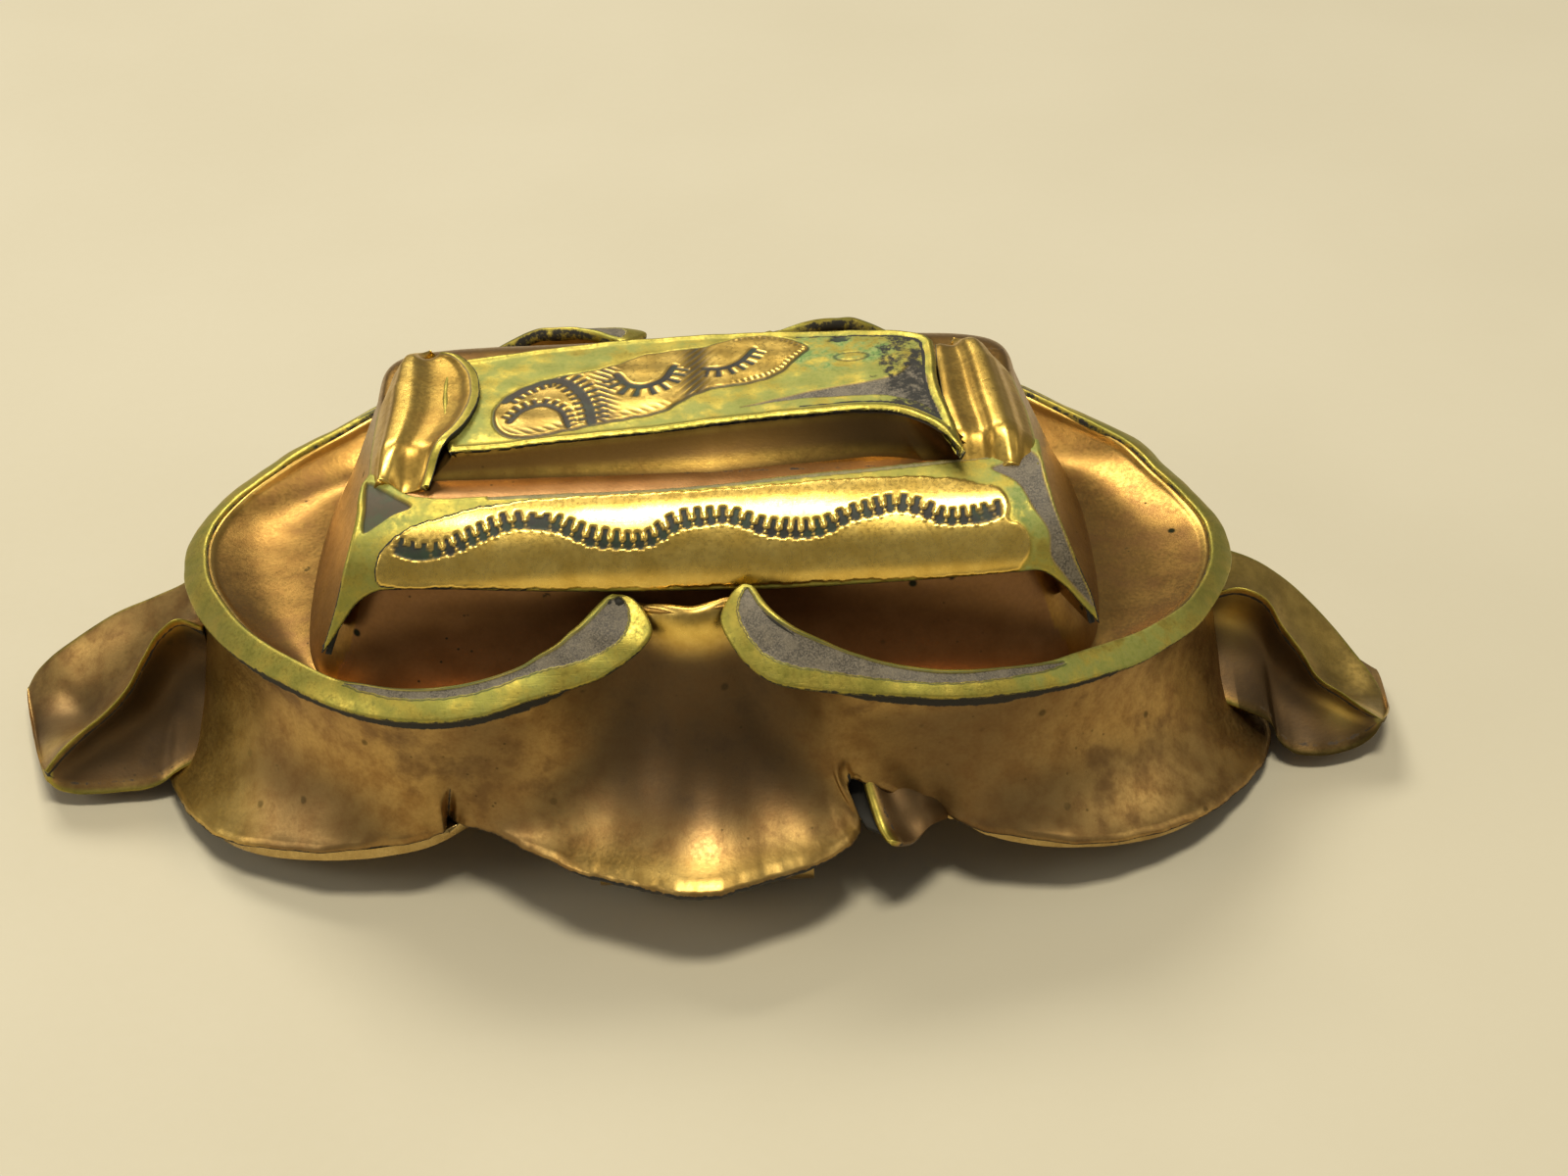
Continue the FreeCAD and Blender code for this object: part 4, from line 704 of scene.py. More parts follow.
# lip: the edge waves and turns down
dent = (0.05 - 0.035 * cw) * lump(X * 0.7, Y * 0.7, zz * 0.7, 1.0) + 0.008 * lump(X * 2.2, Y * 2.2, zz * 2.0, 2.0)
G[..., 0] += hx[:, None, 0] * dent * sm(0, 0.2, V)
G[..., 1] += hx[:, None, 1] * dent * sm(0, 0.2, V)
edge_w = (0.04 * np.sin(kx * 2.3) + 0.018 * np.sin(kx * 7.1 + 2) + 0.008 * np.sin(kx * 17.0 + 1)) * sm(0.90, 1.0, V)
G[..., 0] += hx[:, None, 0] * edge_w
G[..., 1] += hx[:, None, 1] * edge_w
roll_ = sm(0.955, 1.0, V)
G[..., 2] -= 0.16 * roll_**2
cx = G[..., 0]
front = G[..., 1] < 0
centre = np.exp(-((cx / 4.6) ** 4)) * front
warm = centre * sm(10.5, 9.3, zz) * (1 - 0.85 * sm(0.70, 0.93, V)) * 0.97
right_low = np.exp(-(((cx - 8.8) / 4.2) ** 2)) * front * sm(8.8, 7.4, zz) * 0.72
warm = np.maximum(warm, right_low)
warm = np.maximum(warm, 0.55 * np.exp(-(((cx + 6.8) / 1.8) ** 2)) * front * sm(8.8, 7.6, zz))
warm = np.maximum(warm, 0.35 * (~front))
Ls = np.linalg.norm(B - T, axis=1)[:, None]
# painted shade under the overhanging band: a dark band just below it and a softer halo, kept off the saddle
groove = np.clip((0.56 - V * Ls) / 0.22, 0, 1) * 0.75
groove = np.maximum(groove, 0.24 * np.clip(1 - V * Ls / 1.8, 0, 1))
nosad = 1 - np.exp(-(((cx + 0.15) / 1.9) ** 4)) * (G[..., 1] < 0)
groove = groove * nosad
# painted shade in the crease at the left lobe and in the one by the tear; the rolled-under edge of the lip is darkened
# too
crease_d = 0.72 * np.exp(-(((kx - 10.12) / 0.07) ** 2)) * sm(5.8, 4.2, zz) + 0.85 * np.exp(-(((kx - kt) / 0.12) ** 2)) * sm(5.4, 4.9, zz)
edge_d = 0.62 * sm(0.985, 1.0, V) * np.ones_like(kx)
# painted highlights: brighter gold along the centre lobe's lip, on the saddle neck, and over the far left of the front
gold = 0.35 * sm(0.86, 0.96, V) * (1 - sm(0.985, 1.0, V)) * centre
gold = np.maximum(gold, 0.95 * np.exp(-(((zz - 10.7) / 0.75) ** 2)) * np.exp(-(((cx + 0.1) / 1.5) ** 4)) * front)
gold = np.maximum(gold, 0.5 * sm(-14.5, -17.5, cx) * front)
warm = np.maximum(warm, 0.62 * np.exp(-(((cx + 13.5) / 3.2) ** 2)) * front * sm(5.6, 3.8, zz))
# painted shade: the front centre below the band is darkened with the flat dark brown
masks = {"m_warm": warm, "m_dirt": np.clip(np.maximum(np.maximum(groove, crease_d), edge_d), 0, 1), "m_gold": gold, "m_soft": 0.45 * centre * sm(10.2, 8.9, zz) * (1 - sm(0.55, 0.85, V))}
flank = Piece("flank_shell_v")
nrm = norms(G, cu=True)
out = (nrm[:, 17, 0] * hx[:, 0] + nrm[:, 17, 1] * hx[:, 1]).mean()
flank.grid(G, masks, cu=True, flip=bool(out < 0))
flank.make(FLANK, "case", ["base_shell"], solidify=0.28, offset=-1.0)

# torn tab by the centre lobe
tp = Piece("torn_tab_v")
uu = np.linspace(0, 1, 50)
A1 = spl([(5.35, -8.6, 4.9), (5.60, -9.3, 4.1), (5.95, -10.2, 3.45), (6.15, -10.62, 3.35)], 50)
A2 = spl([(6.0, -8.6, 4.5), (6.35, -9.3, 3.95), (6.75, -9.9, 3.45), (6.9, -10.25, 3.3)], 50)
A3 = spl([(6.9, -8.5, 4.1), (7.15, -8.9, 3.6), (7.45, -9.3, 3.2), (7.5, -9.55, 3.05)], 50)
A4 = spl([(7.9, -8.3, 3.6), (8.0, -8.5, 3.2), (8.1, -8.6, 2.9), (8.1, -8.6, 2.75)], 50)
TG = np.stack([spl(np.array([A1[i] + (-0.75, 0.85, 0.05), A1[i] + (-0.1, 0.35, 0.05), A1[i] + (0, 0, 0.12), A2[i] - (0, 0, 0.22), A3[i] + (0, 0, 0.12), A4[i]]), 50) for i in range(50)], 0)
td = np.clip(1 - np.minimum(uu[None, :], 1 - uu[None, :]) / 0.12, 0, 1) * 0.7 + 0 * uu[:, None]
# painted shadow along the rift side of the tab and at its root, painted shade over the brown fold; a dark seam line and
# the yellow edge
tp.grid(TG, {"m_bord": (sm(0.22, 0.26, uu) * sm(0.38, 0.33, uu))[None, :] * np.ones((50, 1)), "m_dirt": np.maximum(0.95 * sm(0.27, 0.22, uu)[None, :], 0.5 * sm(0.2, 0.0, uu)[:, None]) + 0.55 * np.exp(-(((uu - 0.40) / 0.03) ** 2))[None, :], "m_warm": 0.9 * sm(0.36, 0.42, uu)[None, :] * np.ones((50, 1)), "m_soft": 0.45 * sm(0.36, 0.5, uu)[None, :] * np.ones((50, 1)) * sm(1.0, 0.5, uu)[:, None]})
tp.make(FLANK, "case", [], solidify=0.2, offset=0.0)

# ---------------------------------------------------------------- field dish
INL = list(map(tuple, LI)) + [(0.0, 7.15, 11.5)] + list(map(tuple, RI[::-1])) + [(1.3, -7.45, 11.42), (0.6, -7.62, 11.40), (-0.1, -7.72, 11.30), (-0.9, -7.52, 11.25), (-1.6, -7.1, 11.10), (-2.15, -6.9, 11.15)]
INL = np.array(INL, float)
inl = spl(INL, 900, closed=True)
ang = np.arctan2(inl[:, 1] / 7.2, inl[:, 0] / 14.0)


def foot(a, sx=12.85, sy=6.75, e=6.0):
    ca, sa = np.cos(a), np.sin(a)
    r = (np.abs(ca) ** e + np.abs(sa) ** e) ** (-1 / e)
    return np.stack([sx * r * ca * (1 + 0.028 * (1 - np.abs(sa * r) ** 2)), sy * r * sa], -1)


ft = foot(ang)
ft[:, 1] = np.sign(ft[:, 1]) * np.minimum(np.abs(ft[:, 1]), 6.75)
nw = 46
wv = np.linspace(0, 1, nw)
W2 = wv[None, :, None]
ends = sm(9.0, 14.0, np.abs(inl[:, 0]))
zf = 7.25 - 0.05 * ends
DX = inl[:, None, :2] * (1 - W2) + ft[:, None, :] * W2
zi = inl[:, 2][:, None] - 0.10
dist_in = np.linalg.norm(DX - inl[:, None, :2], axis=2)
lip = 0.10 * np.exp(-(((dist_in - 0.16) / 0.10) ** 2))
wq = wv[None, :]
drop = np.where(ends[:, None] > 0, 1, 1) * (1 - (1 - wq) ** (1.5 + 0.9 * (1 - ends[:, None])))
DZ = zi + (zf[:, None] - zi) * drop + lip
DZ = DZ - 0.55 * ends[:, None] * np.sin(np.pi * wq) ** 1.0 * 0.6
DZ = DZ + 0.018 * lump(DX[..., 0] * 0.8, DX[..., 1] * 0.8, 0 * DZ, 3.0)
DG = np.concatenate([DX, DZ[..., None]], -1)
tro = (1 - ends[:, None]) * sm(0.25, 0.8, dist_in)
dw = np.clip(tro * 0.8, 0, 1)
# painted shade: a thin dark line where the dish meets the band (not at the front centre) and at its foot against the
# bar
dd = np.clip(1 - dist_in / 0.09, 0, 1) * 0.8
dd = dd * (1 - 0.9 * np.exp(-((inl[:, 0] / 2.2) ** 4)))[:, None]
dd = np.maximum(dd, 0.35 * np.clip((wq - 0.95) / 0.05, 0, 1))
dish = Piece("field_dish_v")
dn = norms(DG, cu=True)
# painted highlight: a gold line just inside the lip
dish.grid(DG, {"m_warm": dw, "m_dirt": dd, "m_gold": 0.35 * np.exp(-(((dist_in - 0.2) / 0.12) ** 2))}, cu=True, flip=bool(dn[..., 2].mean() < 0))
dish.make(FIELD, "case", ["field_dish"], solidify=0.25, offset=-1.0)

# ---------------------------------------------------------------- bar shell
na = 720
aa = np.linspace(0, 2 * np.pi, na, endpoint=False)


def rrect(sx, sy, z, e=6.0, bow=0.0, dx=0.0):
    ca, sa = np.cos(aa), np.sin(aa)
    # points on a rounded box, spaced by angle
    m = np.maximum(np.abs(ca) / sx, np.abs(sa) / sy)
    t = np.linspace(0, 4, na, endpoint=False)
    r = (np.abs(ca) ** e + np.abs(sa) ** e) ** (-1 / e)
    x = sx * r * ca
    y = sy * r * sa
    return np.stack([x * (1 + bow * (1 - np.clip(np.abs(y) / sy, 0, 1) ** 2)) + dx, y, np.full(na, z)], -1)


LV = [(13.25, 6.95, 6.6, 6, 0.045), (13.0, 6.85, 7.4, 7, 0.045), (12.45, 6.60, 8.8, 8, 0.03), (11.95, 6.50, 10.2, 9, 0.015), (11.5, 6.45, 11.4, 9, 0.008), (11.15, 6.05, 12.6, 8, 0.0), (10.95, 5.3, 13.4, 8, 0.0), (10.75, 4.6, 13.70, 8, 0.0), (10.3, 4.1, 13.74, 8, 0.0), (9.5, 3.5, 13.72, 8, 0.0), (8.0, 2.6, 13.72, 8, 0.0)]
RL = np.stack([rrect(a, b, c, d, e, 0.12) for a, b, c, d, e in LV], 1)
BG = np.stack([spl(RL[i], 110) for i in range(na)], 0)
bz_ = BG[..., 2]
frontwall = (np.abs(BG[..., 1]) > 5.9) & (np.abs(BG[..., 0]) < 12.6)
bw = np.where(frontwall, 0.78, 0.0) * sm(12.2, 11.2, bz_)
ew = sm(11.0, 11.6, np.abs(BG[..., 0])) * (1 - frontwall)
dent = 0.015 * lump(BG[..., 0], BG[..., 1], bz_, 6.0)
bn = norms(BG, cu=True)
BG = BG + bn * dent[..., None]
# painted shade: darkened at the foot where the bar meets the dish and along the ledge line
bd = 0.5 * sm(7.3, 6.8, bz_)
ledge_d = 0.5 * np.exp(-(((np.abs(BG[..., 1]) - 3.55) / 0.15) ** 2)) * (bz_ > 13.6)
bar = Piece("bar_shell_v")
bar.grid(BG, {"m_warm": np.maximum(np.maximum(bw, 0.15 * ew), 0.6 * sm(13.4, 13.65, bz_) * (BG[..., 1] < -3.2)), "m_dirt": np.maximum(bd, ledge_d)}, cu=True, flip=bool((bn[..., 2].mean()) < 0))
bar.make(FIELD, "case", ["bar_shell"])

# ---------------------------------------------------------------- front and rear strips
PR = spl([(y, z) for y, z in STRIP_PROFILE], 2400)
PL = np.r_[0, np.cumsum(np.linalg.norm(np.diff(PR, axis=0), axis=1))]
PQ = PL - np.interp(4.6, -PR[:, 0], PL)


def on_strip(q):
    return np.interp(q, PQ, PR[:, 0]), np.interp(q, PQ, PR[:, 1])


def strip(name, sign, replaces):
    cell = 0.05
    xs = np.arange(-12.9, 13.7, cell)
    qs = np.arange(-2.3, 5.8, cell)
    Xp, Qp = np.meshgrid(xs, qs, indexing="ij")
    so = np.array(STRIP_OUT, float)
    so = np.vstack([spl(so[0:6], 40)[:-1], spl(so[5:11], 30)[:-1], spl(so[10:18], 50)[:-1], spl(so[17:22], 30)[:-1], spl(so[21:28], 40)[:-1], spl(so[27:37], 60)[:-1], spl(np.vstack([so[36:], so[:1]]), 40)[:-1]])
    sd, bx, by = sdist(Xp, Qp, so)
    snap = np.abs(sd) < 0.62 * cell
    Xs = np.where(snap, bx, Xp)
    Qs = np.where(snap, by, Qp)
    ins = (sd < 0) | snap
    keep = ins[:-1, :-1] & ins[1:, :-1] & ins[1:, 1:] & ins[:-1, 1:]
    pan = smooth_poly(STRIP_PANEL, 300)
    sp, _, _ = sdist(Xs, Qs, pan)
    wob = 0.018 * np.sin(Xs * 4.1 + Qs * 3) + 0.014 * np.sin(Xs * 9.7 - Qs * 5) + 0.010 * np.sin(Xs * 23 + 1)
    sp = sp + wob
    gold = sm(0.02, -0.05, sp)
    tri = smooth_poly(STRIP_TRI, 120)
    st, _, _ = sdist(Xs, Qs, tri)
    # the recess at the left horn is painted near-black as shade
    st2, _, _ = sdist(Xs, Qs, smooth_poly(STRIP_SHADED_RECESS, 80))
    en = np.maximum(sm(0.02, -0.04, st), 0)
    shaded_recess = sm(0.02, -0.05, st2)
    tl, _, _, _ = near(Xs, Qs, spl(STRIP_TOPLINE, 60))
    topl = sm(0.115, 0.08, tl) * (Xs < 9.9)
    # chased wavy line with its row of teeth
    comb = spl(COMB, 220)
    dc, cxn, cqn, al = near(Xs, Qs, comb)
    side = Qs - cqn
    end_ok = sm(-9.85, -9.70, Xs) * sm(10.15, 10.0, Xs)
    solid = np.clip(np.exp(-(((Xs + 9.1) / 0.75) ** 4)) + np.exp(-(((Xs + 5.0) / 0.45) ** 4)) + 0.8 * np.exp(-(((Xs - 9.5) / 0.5) ** 4)), 0, 1)
    s_ = -side + 0.025 * np.sin(Xs * 3.3)
    pitch = 0.405
    ph = np.abs((((al + 0.03 * np.sin(al * 2.3)) / pitch) % 1.0) - 0.5)
    tall = 0.41 + 0.05 * np.sin(al * 1.9 + 1) - 0.05 * solid - 0.10 * sm(8.5, 10.0, Xs)
    tick = sm(0.27, 0.19, ph) * sm(tall + 0.03, tall - 0.03, s_) * sm(-0.22, -0.17, s_)
    gap_core = sm(0.12, 0.08, s_) * sm(-0.16, -0.12, s_)
    dot1 = sm(0.075, 0.045, np.hypot((0.5 - ph) * pitch, s_ - 0.10))
    dot2 = sm(0.062, 0.038, np.hypot((0.5 - ph) * pitch, s_ + 0.055))
    dot3 = sm(0.055, 0.030, np.hypot((0.5 - ph) * pitch * 1.1, s_ - 0.21))
    dot4 = sm(0.055, 0.032, np.hypot((ph) * pitch, s_ + 0.215))
    body_ = sm(0.21, 0.15, s_) * sm(-0.19, -0.14, s_)
    dots_ = np.maximum.reduce([dot1, dot2 * 0.9, dot3]) * (1 - solid)
    solid_b = solid * sm(0.24, 0.18, s_) * sm(-0.24, -0.19, s_)
    line = np.maximum(np.maximum(gap_core, body_ * 0.0), solid_b) * end_ok * (dc < 0.5)
    teeth = tick * end_ok * (dc < 0.6)
    ink = np.clip(np.maximum(line, teeth) * (1 - dots_), 0, 1)
    beads = np.maximum(dots_, dot4) * end_ok * (dc < 0.5)
    edge_in = sm(0.035, 0.0, np.abs(sp - 0.03)) * 0.8
    rng_line = sm(0.10, 0.02, sp) * sm(-0.02, 0.03, sp) * 0.0
    edge_in = sm(0.035, 0.0, np.abs(sp - 0.03)) * 0.8
    h = 0.05 * gold - 0.07 * en - 0.10 * shaded_recess - 0.05 * ink * gold + 0.035 * beads - 0.05 * topl
    de = -sd
    rim = 0.06 * sm(0.0, 0.08, de) + 0.02 * np.exp(-(((de - 0.12) / 0.07) ** 2))
    h = h + rim - 0.06
    h = h + 0.022 * lump(Xs * 0.8, Qs * 1.3, 0 * Xs, 7.0)
    Yq, Zq = on_strip(Qs)
    Y1, Z1 = on_strip(Qs + 0.01)
    ty, tz = Y1 - Yq, Z1 - Zq
    L = np.hypot(ty, tz)
    ny, nz = tz / L, -ty / L
    s = np.sign(nz.mean())
    ny, nz = ny * s, nz * s
    off = 0.10
    Yo = Yq + ny * (h + off)
    Zo = Zq + nz * (h + off)
    # painted shade towards the left end: a ragged dark band along the panel's edge and a dark line on it; the outline's
    # edges are darkened, more on the lower part
    ragged = 0.72 * np.exp(-((sp - 0.02) / 0.05) ** 2) * sm(-3.0, -6.0, Xs)
    botd = 0.8 * sm(0.07, 0.0, de) * (Qs > 3.0) + 0.5 * sm(0.05, 0, de)
    verd = 0.9 * np.exp(-(((Xs - 10.6) / 0.9) ** 2)) * sm(0.02, 0.2, sp) + 0.55 * np.exp(-(((Xs + 9.6) / 0.8) ** 2)) * sm(0.02, 0.2, sp) + 0.35 * sm(0.0, 0.1, sp)
    verd = 0.6 * verd
    masks = {"m_gold": gold * (1 - ink), "m_bord": (1 - gold) * (1 - en) * (1 - shaded_recess), "m_enam": np.clip(en + 0.7 * topl, 0, 1), "m_line": np.clip(ink * gold + shaded_recess * 0.92 + edge_in * (Xs < -6) * 0.8, 0, 1), "m_dirt": np.clip(np.maximum(ragged, botd), 0, 1), "m_verd": np.clip(verd, 0, 1) * (1 - gold) * (1 - en), "m_warm": np.zeros_like(Xs)}
    G = np.stack([Xs, Yo, Zo], -1)
    if sign > 0:
        G = G * np.array([-1, -1, 1.0])
        low = (np.abs(Xs) < 9.9) & (Qs > -0.25) & (Qs < 4.0)
        keep = keep & low[:-1, :-1] & low[1:, 1:] & (Qs[:-1, :-1] < 4.6)
        G[..., 2] -= 0.45
        G[..., 1] -= 0.35
    p = Piece(name)
    nn = norms(G)
    p.grid(G, masks, keep=keep, flip=bool(nn[..., 2].mean() < 0))
    return p.make(GILT, "case", replaces, solidify=0.22, offset=-1.0)


# cheeks: the end walls of the bar carried forward to the drawn corners of the strip
so_ = np.array(STRIP_OUT, float)
so_ = np.vstack([spl(so_[i0_:i1_], 60)[:-1] for i0_, i1_ in ((0, 6), (5, 11), (10, 18), (17, 22), (21, 28), (27, 37))] + [spl(np.vstack([so_[36:], so_[:1]]), 60)])
lv = np.array([(z_, a_ * (1 + c_ * 0.35)) for a_, b_, z_, d_, c_ in LV])
for side, nm in ((-1, "bar_cheek_left_v"), (1, "bar_cheek_right_v")):
    q_ = np.linspace(2.0, so_[:, 1][so_[:, 0] * side > 9].max() - 0.05, 120)
    xo = np.array([(so_[np.abs(so_[:, 1] - q) < 0.09][:, 0] * side).max() if (np.abs(so_[:, 1] - q) < 0.09).any() else np.nan for q in q_])
    ok = np.isfinite(xo)
    xo = np.interp(q_, q_[ok], xo[ok])
    xo = np.convolve(np.pad(xo, 4, mode="edge"), np.ones(9) / 9, mode="valid") * side
    yq, zq = on_strip(q_)
    P0 = np.stack([xo - side * 0.12, yq + 0.16, zq - 0.12], -1)
    xe = np.interp(zq, lv[:8, 0], lv[:8, 1]) * side + 0.12
    P1 = np.stack([xe - side * 0.10, np.full_like(zq, -5.2), zq], -1)
    t_ = np.linspace(0, 1, 30)[None, :, None]
    CK = P0[:, None, :] * (1 - t_) + P1[:, None, :] * t_
    ck = Piece(nm)
    # painted shade where the cheek meets the strip's corner
    ck.grid(CK, {"m_warm": 0.25 * np.ones((120, 30)), "m_dirt": 0.75 * sm(0.10, 0.0, np.linspace(0, 1, 30))[None, :] * np.ones((120, 1))}, flip=bool((norms(CK)[..., 0] * side).mean() < 0))
    ck.make(FIELD, "case", [], solidify=0.2, offset=-1.0)

strip("front_band_v", -1, ["front_band", "bar_enamel"])
strip("rear_band_v", 1, ["rear_band"])

# ---------------------------------------------------------------- crest: concave pedestal, bordered plate
def zplate(x):
    return 15.02 + 0.033 * x


po = np.array(PLATE_OUT, float)
po = np.vstack([spl(po[0:12], 70)[:-1], spl(po[11:18], 50)[:-1], spl(po[17:30], 80)[:-1], spl(np.vstack([po[29:], po[:1]]), 50)[:-1]])
cell = 0.045
xs = np.arange(-8.8, 9.15, cell)
ys = np.arange(-4.85, 3.1, cell)
Xp, Yp = np.meshgrid(xs, ys, indexing="ij")
sd, bx, by = sdist(Xp, Yp, po)
snap = np.abs(sd) < 0.62 * cell
Xs = np.where(snap, bx, Xp)
Ys = np.where(snap, by, Yp)
ins = (sd < 0) | snap
keep = ins[:-1, :-1] & ins[1:, :-1] & ins[1:, 1:] & ins[:-1, 1:]
de = -sd
med = smooth_poly(PLATE_MED, 200)
smd, _, _ = sdist(Xs, Ys, med)
smd = smd + 0.015 * np.sin(Xs * 7 + Ys * 5)
medal = sm(0.03, -0.03, smd)
outline = sm(0.07, 0.03, np.abs(smd))
wedge, _, _ = sdist(Xs, Ys, smooth_poly(PLATE_WEDGE, 120))
en = sm(0.03, -0.03, wedge)


def lash(line, side, lw, tick, pitch):
    c = spl(line, 80)
    d, cx_, cy_, al = near(Xs, Ys, c)
    L = np.linalg.norm(np.diff(c, axis=0), axis=1).sum()
    # which side of the curve a point is on
    tx = np.interp(al, np.linspace(0, L, 79), np.diff(c[:, 0]))
    ty = np.interp(al, np.linspace(0, L, 79), np.diff(c[:, 1]))
    s = np.sign(tx * (Ys - cy_) - ty * (Xs - cx_)) * side
    endm = (al > 0.02) & (al < L - 0.02)
    base = sm(lw + 0.03, lw - 0.02, d)
    ph = np.abs(((al / pitch) % 1.0) - 0.5)
    tk = sm(0.27, 0.16, ph) * sm(tick + 0.04, tick - 0.04, d) * (s > 0) * endm
    return np.maximum(base, tk)


ink = np.maximum.reduce([lash(LASH_A, 1, 0.17, 0.62, 0.30) * medal, lash(LASH_A, -1, 0.1, 0.42, 0.34) * medal, lash(LASH_B, -1, 0.13, 0.60, 0.34), lash(LASH_C, -1, 0.11, 0.52, 0.33), lash(LASH_D, 1, 0.10, 0.35, 0.28) * medal])
hatch = sm(0.1, 0.35, np.abs(((Xs * 2.3 + Ys * 3.4) % 1.0) - 0.5)) * np.exp(-(((Xs + 2.9) / 0.35) ** 2)) * medal
hatch2 = sm(0.1, 0.35, np.abs(((Xs * 3.3 - Ys * 2.4) % 1.0) - 0.5)) * np.exp(-(((Xs - 0.15) / 0.45) ** 2)) * medal
under = sm(0.1, 0.35, np.abs(((Xs * 2.2 + Ys * 2.8) % 1.0) - 0.5)) * np.exp(-(((smd + 0.30) / 0.16) ** 2)) * sm(0.4, -0.6, Ys - 0.17 * Xs + 1.2) * sm(3.0, 1.6, Xs)
dots = sm(0.22, 0.12, np.abs(((near(Xs, Ys, med, True)[3] / 0.22) % 1.0) - 0.5)) * sm(0.10, 0.05, np.abs(smd + 0.16)) * sm(1.2, 1.8, Xs)
b1 = sm(0.34, 0.2, np.hypot((Xs - MED_BLOT[0][0]) / 1.3, (Ys - MED_BLOT[0][1]) / 0.8) + 0.06 * np.sin(Xs * 21) * np.sin(Ys * 17))
b2o = np.hypot((Xs - MED_BLOT[1][0]) / 1.9, (Ys - MED_BLOT[1][1]) / 0.9)
b2 = sm(0.32, 0.26, b2o)
b2r = sm(0.05, 0.02, np.abs(b2o - 0.30))
inkall = np.clip(np.maximum.reduce([ink, hatch * 0.9, hatch2 * 0.9, under * 0.45, dots * 0.8, outline * 0.8, b1, b2r * 0.7]), 0, 1)
bfac = sm(0.0, 0.1, de)
edge_line = sm(0.05, 0.02, np.abs(de - 0.42)) * (Xs > 3.6)
h = 0.05 * medal - 0.06 * en - 0.045 * inkall + 0.06 * np.exp(-(((de - 0.16) / 0.12) ** 2)) - 0.05 * (1 - bfac)
h = h + 0.03 * lump(Xs * 1.3, Ys * 1.3, 0 * Xs, 9.0)
horn = sm(8.35, 9.05, Xs) * sm(-2.6, -4.6, Ys)
Z = zplate(Xs) + 0.10 + h - 0.35 * horn
Z = Z - 0.10 * np.clip((Ys - 0.1) / 3.0, -1, 1) ** 2
vp = smooth_poly(MED_VERD, 60)
sv, _, _ = sdist(Xs, Ys, vp)
verd = np.clip(sm(0.5, -0.2, sv) + 0.45 * sm(0.0, 0.5, smd) * sm(0.15, 0.5, de), 0, 1) * (1 - medal) * (1 - en)
back_lane = sm(0.2, 0.5, de) * sm(0.05, 0.3, smd)
# painted shade over the left part of the medallion and in two narrow bands across it; the plate's edge, a thin line
# inside the right border and a lane right of the medallion are darkened
masks = {"m_bord": (1 - medal) * (1 - en), "m_gold": 0.75 * medal * (1 - inkall), "m_enam": en, "m_line": inkall, "m_verd": verd, "m_dirt": np.clip(0.60 * sm(0.09, 0.0, de) + 0.75 * edge_line + 0.55 * back_lane * sm(3.5, 7.5, Xs), 0, 1), "m_warm": 0.5 * b2 + 0.35 * medal * sm(-1.0, -5.0, Xs), "m_soft": np.clip(0.5 * medal * sm(-1.5, -5.5, Xs) + 0.4 * medal * np.exp(-(((Xs + 2.6) / 0.5) ** 2)) + 0.55 * medal * np.exp(-(((Xs - 0.2) / 0.5) ** 2)), 0, 1)}
G = np.stack([Xs, Ys, Z], -1)
cp = Piece("crest_plate_v")
cp.grid(G, masks, keep=keep, flip=bool(norms(G)[..., 2].mean() < 0))
cp.make(GILT, "case", ["crest_plate", "crest_enamel"], solidify=0.34, offset=-1.0)

# pedestal under the plate: the wall curves in and out again
n = 640
plo = spl(po, n, closed=True)
pc = np.array([0.45, -0.1])
shr = plo - pc
top_o = pc + shr * np.array([0.985, 0.955])
hornm = sm(8.2, 9.0, plo[:, 0]) * sm(-2.4, -4.4, plo[:, 1])
top_o[:, 0] -= 0.35 * hornm
top_o[:, 1] += 0.55 * hornm
ft_o = np.stack([pc[0] + shr[:, 0] * 1.10, np.where(shr[:, 1] < 0, np.minimum(-3.62 + 0.055 * np.clip(plo[:, 0] - 2, 0, 9), 0) * np.clip(-shr[:, 1] / 2.6, 0, 1), 3.55 * np.clip(shr[:, 1] / 2.6, 0, 1))], -1)
mid_o = top_o * 0.42 + ft_o * 0.58
rails = []
for t in np.linspace(0, 1, 26):
    zt = zplate(plo[:, 0]) - 0.12
    c = np.sin(np.pi * t)
    base = top_o * (1 - t) ** 1.3 + ft_o * (1 - (1 - t) ** 1.3)
    q = base - (base - pc) / np.linalg.norm(base - pc, axis=1, keepdims=True) * 0.22 * c
    rails.append(np.concatenate([q, (zt + (13.66 - zt) * t)[:, None]], 1))
CG = np.stack(rails, 1)
tt = np.linspace(0, 1, 26)[None, :]
cs = Piece("crest_shell_v")
cn_ = norms(CG, cu=True)
outw = (cn_[..., 0] * (CG[..., 0] - pc[0]) + cn_[..., 1] * (CG[..., 1] - pc[1])).mean()
# painted shadow under the right horn, painted shade at the foot and on the left; the top and foot edges darkened
cs.grid(CG, {"m_soft": np.maximum(0.8 * sm(1.0, 6.0, CG[..., 0]) * (1 - 0.6 * sm(0.6, 1.0, tt)), np.maximum(0.4 * sm(0.75, 0.95, tt), 0.5 * sm(-5.0, 0.0, CG[..., 0]) * sm(0.3, 0.7, tt))), "m_warm": np.maximum(0.75 * sm(0.05, 0.25, tt) * (1 - sm(0.55, 0.8, tt)), 0.6 * sm(0.8, 0.95, tt)) * np.ones((n, 1)), "m_dirt": (0.8 * sm(0.10, 0.0, tt) + 0.5 * sm(0.95, 1.0, tt)) * np.ones((n, 1))}, cu=True, flip=bool(outw < 0))
cs.make(GILT, "case", ["crest_shell"], solidify=0.2, offset=-1.0)

